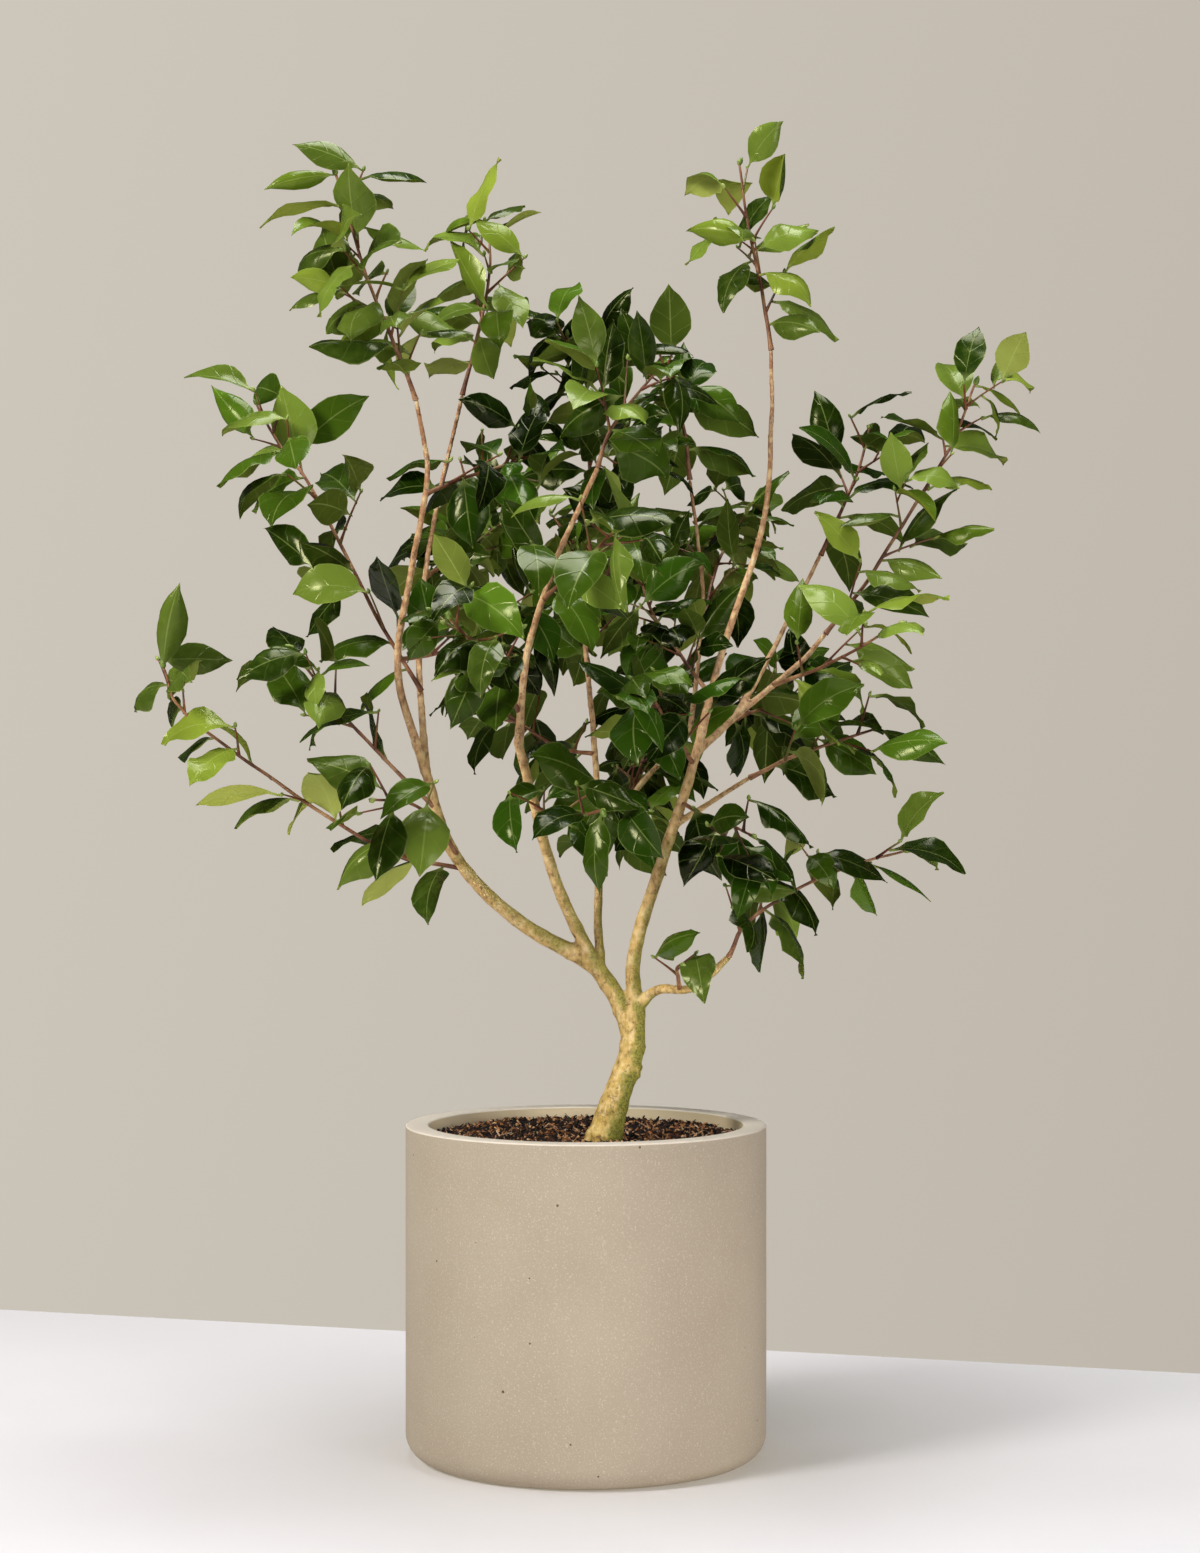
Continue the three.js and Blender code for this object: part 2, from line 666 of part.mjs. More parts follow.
function spraySolid(spray) {
  const steps = Math.max(3, Math.round(spray.length / STEM.step));
  let stem = limbSolid(spray.curve, [STEM.base, STEM.tip], STEM.sides, steps);
  for (const limb of LIMBS) stem = largestBody(stem.subtract(limb.grown));
  const random = numberStream(spray.seed);
  const twigs = growTwigs(spray, random);
  const leaves = growLeaves(spray, twigs, random);
  const bearing = twigs.filter((twig) => twig.reach > 0);
  const lateral = leaves.filter((leaf) => !leaf.endsTwig);
  return largestBody(wasm.Manifold.union([stem, ...bearing.map(twigSolid), ...lateral.map(leafSolid)]));
}

// ---------------------------------------------------------------- the whole plant
const paint = (color, roughness) => new THREE.MeshStandardMaterial({ color, roughness, metalness: 0 });
const MATERIALS = {
  pot: paint('#c5b397', 0.8),
  soil: paint('#3a2a20', 1),
  trunk: paint('#b39a5e', 0.85),
  limb: paint('#b8926a', 0.8),
  foliage: paint('#2c5222', 0.4),
};

const plant = new THREE.Group();
const groups = new Map();

// Each limb has a group that also holds all that grows on it.
function grow(name, on, mesh) {
  const group = new THREE.Group();
  group.add(mesh);
  groups.set(name, group);
  (groups.get(on) ?? plant).add(group);
}

plant.add(named('pot', potSolid(), MATERIALS.pot));
plant.add(named('soil', soilSolid(), MATERIALS.soil));
for (const { name, on, shape } of limbSolids()) {
  grow(name, on, named(name, shape, name === 'trunk' ? MATERIALS.trunk : MATERIALS.limb));
}
for (const spray of SPRAYS) {
  grow(spray.name, spray.on, named(spray.name, spraySolid(spray), MATERIALS.foliage));
}

export default plant;
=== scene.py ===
# %% [markdown]
# # A camellia shrub in its pot
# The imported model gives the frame: a straight-sided pot, its soil, one short trunk, sixteen limbs and
# thirty-one sprays of leaves. This lesson keeps every one of them in its place and gives each its looks.
# The pot is turned again with finer edges. The limbs become one skin of bark. The sprays are grown again
# by the rule that made the solids, and carried on to finer twigs and to leaves with real curves.

import math

import bmesh
import bpy
import numpy as np
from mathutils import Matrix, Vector, noise


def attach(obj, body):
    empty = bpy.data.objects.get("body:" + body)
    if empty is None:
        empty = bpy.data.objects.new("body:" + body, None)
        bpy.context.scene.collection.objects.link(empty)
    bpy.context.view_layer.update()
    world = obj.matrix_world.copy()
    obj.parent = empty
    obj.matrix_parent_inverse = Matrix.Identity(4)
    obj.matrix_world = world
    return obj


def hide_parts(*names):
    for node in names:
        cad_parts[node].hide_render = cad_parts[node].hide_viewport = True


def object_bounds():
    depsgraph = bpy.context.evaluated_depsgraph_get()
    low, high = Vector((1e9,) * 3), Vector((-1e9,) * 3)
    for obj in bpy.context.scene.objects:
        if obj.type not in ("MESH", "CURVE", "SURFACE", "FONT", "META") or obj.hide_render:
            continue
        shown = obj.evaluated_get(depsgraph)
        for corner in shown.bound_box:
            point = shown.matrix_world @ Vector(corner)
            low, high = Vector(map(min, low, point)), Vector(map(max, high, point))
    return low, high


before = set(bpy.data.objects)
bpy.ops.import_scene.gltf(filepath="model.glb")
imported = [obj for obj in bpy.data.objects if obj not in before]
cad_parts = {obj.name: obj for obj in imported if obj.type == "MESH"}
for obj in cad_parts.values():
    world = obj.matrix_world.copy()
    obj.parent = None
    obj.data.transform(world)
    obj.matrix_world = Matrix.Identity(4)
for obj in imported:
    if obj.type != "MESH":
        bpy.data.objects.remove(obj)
cad_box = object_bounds()
print("nodes in the frame:", len(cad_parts))

# %% [markdown]
# ## Working in millimetres
# Blender works in metres. A plant of this size is easier to think of in millimetres, so the sizes below
# are in millimetres and each mesh is brought to metres as it is made.

# %% Units and small helpers
MM = 0.001
UP = np.array([0.0, 0.0, 1.0])
GOLDEN_ANGLE = 2.39996


def mix(low, high, share):
    return low + (high - low) * share


def unit(vector):
    return vector / np.linalg.norm(vector)


def show(mesh, name, *materials):
    """Puts a mesh in the scene under a name, with its materials."""
    piece = bpy.data.objects.new(name, mesh)
    mesh.name = name
    bpy.context.scene.collection.objects.link(piece)
    for material in materials:
        mesh.materials.append(material)
    return piece


def triangles(piece):
    return sum(len(face.vertices) - 2 for face in piece.data.polygons)


# %% [markdown]
# ## Camera
# The shrub is looked at from straight in front and a little above its pot, by a level camera 3.1 m away.
# A longish lens keeps the pot's sides upright.

# %% Camera
CAMERA_PLACE = (14, -3100, 677)
FRAME_HEIGHT = 1553  # how much the frame takes in at the origin's distance, from top to bottom
SENSOR = 36

camera_data = bpy.data.cameras.new("plant_camera")
camera_data.sensor_width = SENSOR
camera_data.lens = SENSOR * -CAMERA_PLACE[1] / FRAME_HEIGHT
camera = bpy.data.objects.new("plant_camera", camera_data)
camera.location = Vector(CAMERA_PLACE) * MM
camera.rotation_euler = (math.pi / 2, 0, 0)
bpy.context.scene.collection.objects.link(camera)
bpy.context.scene.camera = camera
bpy.context.scene.view_settings.view_transform = "Standard"
print("lens, mm:", round(camera_data.lens, 1))

# %% [markdown]
# ## Materials: one way to add a node
# Every material below is a small tree of nodes. One function adds a node: its settings are given by name,
# and its inputs in order or by name, each as a value or as the output that feeds it. The function gives
# back one output of the node, which is the first one where nothing else is said.


# %% Node helper and colours
UNDER, OVER, MIXED = 6, 7, 2  # a Mix node's sockets for colours: their names stand for other kinds too


def linear(hex_colour):
    """A colour written as sRGB hex, as the linear light that Blender works in."""
    parts = [int(hex_colour[i : i + 2], 16) / 255 for i in (1, 3, 5)]
    return tuple(c / 12.92 if c <= 0.04045 else ((c + 0.055) / 1.055) ** 2.4 for c in parts) + (1.0,)


def add_node(tree, kind, inputs=(), output=0, stops=(), **settings):
    """Adds a node and its links. A colour ramp also gets its (place, sRGB hex) stops."""
    node = tree.nodes.new("ShaderNode" + kind)
    for name, value in settings.items():
        setattr(node, name, value)
    for name, value in (inputs if isinstance(inputs, dict) else dict(enumerate(inputs))).items():
        if isinstance(value, bpy.types.NodeSocket):
            tree.links.new(value, node.inputs[name])
        else:
            node.inputs[name].default_value = value
    if stops:
        band = node.color_ramp.elements
        for _ in stops[2:]:
            band.new(1.0)
        for stop, (place, colour) in zip(band, stops):
            stop.position = place
            stop.color = linear(colour)
    return node.outputs[output]


# %% [markdown]
# ### Grain, coats and finish
# Most finishes here are cloudy noise and thin coats of colour. The noise is given by the real size of its
# lumps. A coat shows where some value, such as a noise or a height, rises far enough.


# %% Helpers for a finish
def grain(place, size_mm, detail=4.0):
    """What a noise needs to have lumps about size_mm across."""
    return {"Vector": place, "Scale": 1 / (size_mm * MM), "Detail": detail}


def coat(tree, under, colour, driver, low, high, most=1.0):
    """A coat of colour that thickens, from nothing to most, as its driver goes from low to high."""
    share = add_node(tree, "MapRange", [driver, low, high, 0.0, most])
    layers = {0: share, UNDER: under, OVER: linear(colour)}
    return add_node(tree, "Mix", layers, MIXED, data_type="RGBA")


def new_material(name, roughness, ior=1.45):
    material = bpy.data.materials.new(name)
    material.use_nodes = True
    tree = material.node_tree
    shader = tree.nodes["Principled BSDF"]
    shader.inputs["Roughness"].default_value = roughness
    shader.inputs["IOR"].default_value = ior
    return material, tree, shader, add_node(tree, "TexCoord", output="Object")


def finish(tree, shader, tone, height, depth_mm):
    """Feeds the shader its colour, and its normal from a height whose relief is depth_mm deep."""
    tree.links.new(tone, shader.inputs["Base Color"])
    relief = {"Height": height, "Distance": depth_mm * MM, "Strength": 1.0}
    tree.links.new(add_node(tree, "Bump", relief, "Normal"), shader.inputs["Normal"])


# %% [markdown]
# ## Floor and light
# The pot stands on a pale floor in front of a warm grey wall. The floor is a slab whose back edge runs a
# little askew. It is given a faint warm glow of its own, painted light that no lamp gives, and this keeps
# the pot's shadow pale. Four soft lamps light the plant. A window at the upper left draws the white
# streaks on the leaves, a panel hangs overhead, a broad fill stands at the front, and a small card
# brings light to the foot of the pot.

# %% Floor
FLOOR_EDGE = [(-3344, 1601), (3296, -350)]  # the left and the right end of the back edge
FLOOR_FRONT = -4200
FLOOR_THICKNESS = 20

floor_mesh = bpy.data.meshes.new("floor")
floor_shape = bmesh.new()
(left, left_back), (right, right_back) = FLOOR_EDGE
corners = [(left, left_back), (left, FLOOR_FRONT), (right, FLOOR_FRONT), (right, right_back)]
rim = [floor_shape.verts.new((x * MM, y * MM, 0)) for x, y in corners]
slab = floor_shape.faces.new(rim)
bmesh.ops.recalc_face_normals(floor_shape, faces=[slab])
bmesh.ops.solidify(floor_shape, geom=[slab], thickness=FLOOR_THICKNESS * MM)
top = max(v.co.z for v in floor_shape.verts)
bmesh.ops.translate(floor_shape, verts=floor_shape.verts, vec=(0, 0, -top))
bmesh.ops.recalc_face_normals(floor_shape, faces=floor_shape.faces)
floor_shape.to_mesh(floor_mesh)
floor_shape.free()

floor_paint, tree, shader, place = new_material("painted_floor", 0.6)
cloud = add_node(tree, "TexNoise", grain(place, 300))
tone = add_node(tree, "ValToRGB", [cloud], stops=[(0.3, "#cfcdd5"), (0.7, "#d2d1d8")])
tree.links.new(tone, shader.inputs["Base Color"])
# Painted light: a faint warm glow of the floor's own, which lifts its shadows; the floor is no lamp.
shader.inputs["Emission Color"].default_value = linear("#fdf3d8")
shader.inputs["Emission Strength"].default_value = 0.2
floor = show(floor_mesh, "floor", floor_paint)
print("floor corners:", len(corners))

# %% Lamps
LAMPS = [  # name, place, the height it points at, size, beam in degrees, watts, colour
    ("window_light", (-2500, -1900, 2400), 750, 950, 180, 106, "#fffcf6"),
    ("overhead_panel", (100, 0, 3600), 750, 1700, 180, 102, "#fcfdff"),
    ("front_fill", (2100, -3000, 1100), 750, 1400, 180, 46, "#f6f9ff"),
    ("low_card", (2300, -2300, 330), 150, 500, 22, 0.5, "#fff6ea"),
]

for name, place_mm, aim, size, beam, watts, colour in LAMPS:
    lamp_data = bpy.data.lights.new(name, "AREA")
    lamp_data.size = size * MM
    lamp_data.spread = math.radians(beam)
    lamp_data.energy = watts
    lamp_data.color = linear(colour)[:3]
    lamp = bpy.data.objects.new(name, lamp_data)
    lamp.location = Vector(place_mm) * MM
    lamp.rotation_euler = (Vector((0, 0, aim)) * MM - lamp.location).to_track_quat("-Z", "Y").to_euler()
    bpy.context.scene.collection.objects.link(lamp)
print("lamps:", len(LAMPS))

# %% [markdown]
# ### The wall
# The wall is far away and plain, so the world's colour stands for it: a little lighter on the window's
# side, and dark above, where the room is. A ray that goes straight to the eye sees this wall. All others
# see a dimmer room, because light from such a pale wall on every side would flatten the plant.

# %% The world's colour
WINDOW_SIDE = (-2.07, 0.0, 0.53)

world = bpy.data.worlds.new("warm_grey_wall")
bpy.context.scene.world = world
world.use_nodes = True
tree = world.node_tree
direction = add_node(tree, "TexCoord", output="Generated")
lit = add_node(tree, "VectorMath", [direction, WINDOW_SIDE], "Value", operation="DOT_PRODUCT")
lit = add_node(tree, "MapRange", [lit, -0.5, 0.5])
wall_tone = add_node(tree, "ValToRGB", [lit], stops=[(0.0, "#bfb7ab"), (1.0, "#cdc6bb")])
upward = add_node(tree, "SeparateXYZ", [direction], "Z")
wall_tone = coat(tree, wall_tone, "#58554f", upward, 0.27, 0.44)
to_the_eye = add_node(tree, "LightPath", output="Is Camera Ray")
rooms = {0: to_the_eye, UNDER: linear("#3f3d39"), OVER: wall_tone}
room_tone = add_node(tree, "Mix", rooms, MIXED, data_type="RGBA")
tree.links.new(room_tone, tree.nodes["Background"].inputs["Color"])
print("nodes of the world:", len(tree.nodes))

# %% [markdown]
# ## The pot
# A cast pot, 360 mm across and 330 mm tall, with a rounded foot and an eased lip. A pot like this is
# turned: its half profile has six corners, a spin carries them round, and bevels ease the foot and lip.

# %% Turning the pot
POT = {"radius": 180, "height": 330, "wall": 23, "floor": 26, "foot": 24, "lip": 1.8}
TURNS = 132


def spin_profile(corners, turns):
    """Turns a half profile of (radius, height) corners into a closed body."""
    shape = bmesh.new()
    points = [shape.verts.new((r * MM, 0, z * MM)) for r, z in corners]
    edges = [shape.edges.new(pair) for pair in zip(points, points[1:])]
    bmesh.ops.spin(
        shape, geom=points + edges, axis=(0, 0, 1), cent=(0, 0, 0), angle=2 * math.pi,
        steps=turns, use_merge=True, use_duplicate=False,
    )
    bmesh.ops.remove_doubles(shape, verts=shape.verts, dist=1e-6)
    bmesh.ops.recalc_face_normals(shape, faces=shape.faces)
    return shape


def ring_edges(shape, radius, height):
    """The edges of the circle at a given radius and height."""
    def on_ring(vert):
        return abs(vert.co.xy.length - radius * MM) < 1e-5 and abs(vert.co.z - height * MM) < 1e-5
    return [edge for edge in shape.edges if all(on_ring(v) for v in edge.verts)]


def round_ring(shape, radius, height, size, segments):
    bmesh.ops.bevel(
        shape, geom=ring_edges(shape, radius, height), offset=size * MM, offset_type="OFFSET",
        affect="EDGES", segments=segments, profile=0.5, material=-1,
    )


inside = POT["radius"] - POT["wall"]
pot_shape = spin_profile(
    [
        (0, 0), (POT["radius"], 0), (POT["radius"], POT["height"]), (inside, POT["height"]),
        (inside, POT["floor"]), (0, POT["floor"]),
    ],
    TURNS,
)
round_ring(pot_shape, POT["radius"], 0, POT["foot"], 8)
round_ring(pot_shape, POT["radius"], POT["height"], POT["lip"], 4)
round_ring(pot_shape, inside, POT["height"], POT["lip"], 4)
pot_mesh = bpy.data.meshes.new("pot_body")
pot_shape.to_mesh(pot_mesh)
pot_shape.free()
pot_mesh.shade_smooth()
pot_mesh.set_sharp_from_angle(angle=math.radians(50))

# %% [markdown]
# ### The pot's finish
# The pot is cast from a sandy mix and left matt. Close up it is a fine pale speckle over a warm beige,
# with a few pinholes where air was caught against the mould. The speckle is drawn about 1.5 mm across,
# a little coarser than sand, so that it shows. The inner wall is painted paler, as painted light falling
# into the pot, and the top of the rim, where it faces up, is painted palest of all: a painted highlight.

# %% Cast stone
cast_stone, tree, shader, place = new_material("sanded_cast_stone", 0.82, 1.5)
cloud = add_node(tree, "TexNoise", grain(place, 90, 3.0))
tone = add_node(tree, "ValToRGB", [cloud], stops=[(0.3, "#ab9d89"), (0.7, "#b1a490")])
sand = add_node(tree, "TexNoise", grain(place, 1.5, 2.0))
tone = coat(tree, tone, "#e6ddd0", sand, 0.56, 0.70, 0.30)
dark_sand = add_node(tree, "TexNoise", grain(place, 2.3, 2.0))
tone = coat(tree, tone, "#a8906e", dark_sand, 0.60, 0.74, 0.35)

# %% Pinholes
PINHOLE_EVERY = 13
cells = {"Vector": place, "Scale": 1 / (PINHOLE_EVERY * MM)}
from_middle = add_node(tree, "TexVoronoi", cells, "Distance")
chance = add_node(tree, "SeparateColor", [from_middle.node.outputs["Color"]], "Red")
hole_size = add_node(tree, "MapRange", [chance, 0.82, 1.0, 0.0, 0.11])  # most cells have none
hole = add_node(tree, "Math", [from_middle, hole_size], operation="LESS_THAN")
tone = coat(tree, tone, "#5c4630", hole, 0.0, 1.0)

# %% Inner wall and rim, painted lighter
level = add_node(tree, "VectorMath", [place, (1, 1, 0)], operation="MULTIPLY")
from_axis = add_node(tree, "VectorMath", [level], "Value", operation="LENGTH")
# Painted light: the inner wall is painted paler than the body, for the light that falls into the pot.
tone = coat(tree, tone, "#e6d3ae", from_axis, (inside + 3) * MM, (inside + 1) * MM)
# Painted highlight: the top of the rim, where it faces up, is painted palest.
facing_up = add_node(tree, "SeparateXYZ", [add_node(tree, "TexCoord", output="Normal")], "Z")
upward = add_node(tree, "MapRange", [facing_up, 0.15, 0.6])
height = add_node(tree, "SeparateXYZ", [place], "Z")
near_rim = add_node(tree, "MapRange", [height, (POT["height"] - 3) * MM, (POT["height"] - 1) * MM])
lit_rim_top = add_node(tree, "Math", [upward, near_rim], operation="MULTIPLY")
tone = coat(tree, tone, "#f6ebdc", lit_rim_top, 0.0, 1.0)
finish(tree, shader, tone, sand, 0.25)

pot = show(pot_mesh, "pot_body", cast_stone)
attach(pot, "root")
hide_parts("pot")
print("pot triangles:", triangles(pot))

# %% [markdown]
# ## The soil
# Potting mix is crumbs of bark and fibre, nearly black where it is damp. A turned body fills the pot, its
# top pushed up and down by noise, and some thousands of chips and fibres lie on it.

# %% Soil body
SOIL_TOP = 321
SOIL_GAP = 0.3  # between the soil and the pot
SOIL_REACH = POT["radius"] - POT["wall"] - SOIL_GAP
SOIL_RINGS, SOIL_TURNS = 46, 150
LUMP = {"across": 26, "height": 1.8}
CRUMB = {"across": 6, "height": 1.3}
EDGE = {"across": 12, "drop": 3.5}  # where the soil falls away beside the pot
SETTLED = 1.5

rings = [(r, SOIL_TOP) for r in np.linspace(0, SOIL_REACH, SOIL_RINGS)]
soil_foot = POT["floor"] + SOIL_GAP
soil_shape = spin_profile(rings + [(SOIL_REACH, soil_foot), (0, soil_foot)], SOIL_TURNS)


def soil_height(x, y):
    """Height of the soil at a place, all in millimetres: lumpy, and lower where it meets the pot."""
    lumps = noise.fractal(Vector((x, y, 0)) / LUMP["across"], 1.0, 2.0, 3)
    crumbs = noise.fractal(Vector((x, y, 9)) / CRUMB["across"], 1.0, 2.0, 3)
    edge = max(0.0, math.hypot(x, y) - SOIL_REACH + EDGE["across"]) / EDGE["across"]
    return SOIL_TOP - SETTLED + LUMP["height"] * lumps + CRUMB["height"] * crumbs - EDGE["drop"] * edge


for vert in soil_shape.verts:
    if vert.co.z > 0.2:
        vert.co.z = soil_height(vert.co.x / MM, vert.co.y / MM) * MM
soil_mesh = bpy.data.meshes.new("soil_bed")
soil_shape.to_mesh(soil_mesh)
soil_shape.free()
soil_mesh.shade_smooth()

DIRT = [(0.35, "#080403"), (0.5, "#1d110b"), (0.62, "#331b0f"), (0.75, "#5a3620")]
potting_mix, tree, shader, place = new_material("damp_potting_mix", 0.9)
dirt = add_node(tree, "ValToRGB", [add_node(tree, "TexNoise", grain(place, 5, 8.0))], stops=DIRT)
finish(tree, shader, dirt, add_node(tree, "TexNoise", grain(place, 2.5, 6.0)), 1.2)
soil = show(soil_mesh, "soil_bed", potting_mix)
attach(soil, "root")
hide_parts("soil")
print("soil triangles:", triangles(soil))

# %% [markdown]
# ### Many copies in one mesh
# The chips, the leaves and the buds are hundreds of copies of a small shape. Blender is quicker with one
# mesh than with many objects, so the copies' vertices are laid one after another in one mesh, and the
# faces of one copy are repeated for all.


# %% Joining many copies of one small shape
def arrays_of(shape):
    """Vertex places, the corners of every face and the faces' materials of a bmesh."""
    shape.verts.index_update()
    places = np.array([v.co[:] for v in shape.verts])
    faces = [[v.index for v in f.verts] for f in shape.faces]
    kinds = np.array([f.material_index for f in shape.faces])
    return places, faces, kinds


def joined(name, copies, faces, kinds, values=None, uv=None):
    """One mesh of many copies: copies is (count, vertices, 3) in metres. Each copy has one value of its
    own, kept as the attribute own_shade, and uv gives every vertex its place on the blade."""
    count, per_copy = copies.shape[:2]
    corners = np.concatenate([np.array(face) for face in faces])
    sizes = np.array([len(face) for face in faces])
    starts = np.tile(sizes, count).cumsum() - np.tile(sizes, count)
    all_corners = (np.arange(count)[:, None] * per_copy + corners).ravel()
    mesh = bpy.data.meshes.new(name)
    mesh.vertices.add(count * per_copy)
    mesh.vertices.foreach_set("co", copies.astype(np.float32).ravel())
    mesh.loops.add(len(all_corners))
    mesh.loops.foreach_set("vertex_index", all_corners.astype(np.int32))
    mesh.polygons.add(count * len(sizes))
    mesh.polygons.foreach_set("loop_start", starts.astype(np.int32))
    mesh.polygons.foreach_set("material_index", np.tile(kinds, count).astype(np.int32))
    mesh.update(calc_edges=True)
    if values is not None:
        own = mesh.attributes.new("own_shade", "FLOAT", "POINT")
        own.data.foreach_set("value", np.repeat(values, per_copy).astype(np.float32))
    if uv is not None:
        layer = mesh.uv_layers.new(name="blade")
        spread = np.tile(uv[corners], (count, 1)).astype(np.float32)
        layer.data.foreach_set("uv", spread.ravel())
    return mesh


def turned_frames(rng, count, tilt):
    """Random upright-ish frames: each row's three axes, tipped from level by up to tilt radians."""
    spin = rng.uniform(0, 2 * math.pi, count)
    lean = rng.normal(0, tilt, (count, 2))
    first = np.stack([np.cos(spin), np.sin(spin), lean[:, 0]], 1)
    first /= np.linalg.norm(first, axis=1)[:, None]
    third = np.stack([lean[:, 1], np.zeros(count), np.ones(count)], 1)
    second = np.cross(third, first)
    second /= np.linalg.norm(second, axis=1)[:, None]
    return np.stack([first, second, np.cross(first, second)], 1)


# %% [markdown]
# ### Chips and fibres
# Composted bark, coir fibre and a few grains of perlite lie loose on the soil, most of them dark, and
# pale where they have dried. One chip is a small box, thicker in its middle than at its ends. Its copies
# are turned and stretched by chance and strewn evenly over the bed, but not where the trunk stands.


# %% Chips and fibres on the soil
def chip_arrays():
    shape = bmesh.new()
    bmesh.ops.create_cube(shape, size=1.0)
    ends = [v for v in shape.verts if abs(v.co.x) > 0.4]
    bmesh.ops.scale(shape, verts=ends, vec=(1.0, 0.62, 0.7))
    bmesh.ops.subdivide_edges(
        shape, edges=[e for e in shape.edges if abs((e.verts[0].co - e.verts[1].co).x) > 0.5], cuts=1
    )
    middle = [v for v in shape.verts if abs(v.co.x) < 0.1]
    bmesh.ops.scale(shape, verts=middle, vec=(1.0, 1.6, 1.35))
    bmesh.ops.translate(shape, verts=middle, vec=(0, 0, 0.15))
    found = arrays_of(shape)
    shape.free()
    return found


def shaded_by_copy(name, roughness, stops, bump_mm, lump_mm):
    """A material whose base colour runs over stops with each copy's own value."""
    material, tree, shader, place = new_material(name, roughness)
    own = add_node(tree, "Attribute", output="Fac", attribute_name="own_shade")
    mottle = add_node(tree, "TexNoise", grain(place, lump_mm))
    layers = {
        0: 1.0,
        UNDER: add_node(tree, "ValToRGB", [own], stops=stops),
        OVER: add_node(tree, "ValToRGB", [mottle], stops=[(0.3, "#b0b0b0"), (0.7, "#ffffff")]),
    }
    tone = add_node(tree, "Mix", layers, MIXED, data_type="RGBA", blend_type="MULTIPLY")
    finish(tree, shader, tone, mottle, bump_mm)
    return material


COMPOSTED_BARK = [
    (0.0, "#030101"), (0.55, "#140903"), (0.72, "#74401f"), (0.88, "#c98850"), (1.0, "#ffcc94"),
]
COIR = [(0.0, "#190c07"), (0.4, "#542d17"), (0.75, "#d89a68"), (1.0, "#ffe0b8")]
PERLITE = [(0.0, "#b9b2ab"), (1.0, "#e6e2dd")]
CHIP_KINDS = [  # name, how many, length, width, tilt, material
    ("bark_chips", 2300, (4, 9), (1.8, 3.6), 0.75, ("composted_bark", 0.85, COMPOSTED_BARK, 0.5, 2.5)),
    ("root_fibres", 1100, (6, 15), (0.8, 1.5), 0.6, ("coir_fibre", 0.8, COIR, 0.3, 3.0)),
    ("pale_grains", 90, (1.2, 2.4), (1.0, 2.0), 0.5, ("perlite_grain", 0.9, PERLITE, 0.4, 1.0)),
]
TRUNK_FOOT = np.array([14, -56])
TRUNK_ROOM = 17  # no chip lies this near to the middle of the trunk's foot

chip_places, chip_faces, chip_kinds = chip_arrays()
rng = np.random.default_rng(11)
for name, count, length, width, tilt, stuff in CHIP_KINDS:
    radius = (SOIL_REACH - 5) * np.sqrt(rng.uniform(0, 1, count))
    angle = rng.uniform(0, 2 * math.pi, count)
    ground = np.stack([radius * np.cos(angle), radius * np.sin(angle)], 1)
    ground = ground[np.linalg.norm(ground - TRUNK_FOOT, axis=1) > TRUNK_ROOM]
    count = len(ground)
    heights = np.array([soil_height(x, y) for x, y in ground]) + rng.uniform(-0.7, 0.9, count)
    sizes = np.stack([rng.uniform(*length, count), rng.uniform(*width, count)], 1)
    sizes = np.c_[sizes, sizes[:, 1] * rng.uniform(0.35, 0.8, count)]
    axes = turned_frames(rng, count, tilt)
    local = chip_places[None] * sizes[:, None]
    copies = (np.einsum("nvi,nij->nvj", local, axes) + np.c_[ground, heights][:, None]) * MM
    chips = joined(name, copies, chip_faces, chip_kinds, rng.uniform(0, 1, count))
    bits = show(chips, name, shaded_by_copy(*stuff))
    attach(bits, "root")
    print(name, triangles(bits))

# %% [markdown]
# ## Trunk and limbs
# One short leaning trunk forks low into long bare limbs. Each limb is a smooth curve with a tapering
# radius. The tables give the same points as the solids, so that the bark lies where the frame has wood.

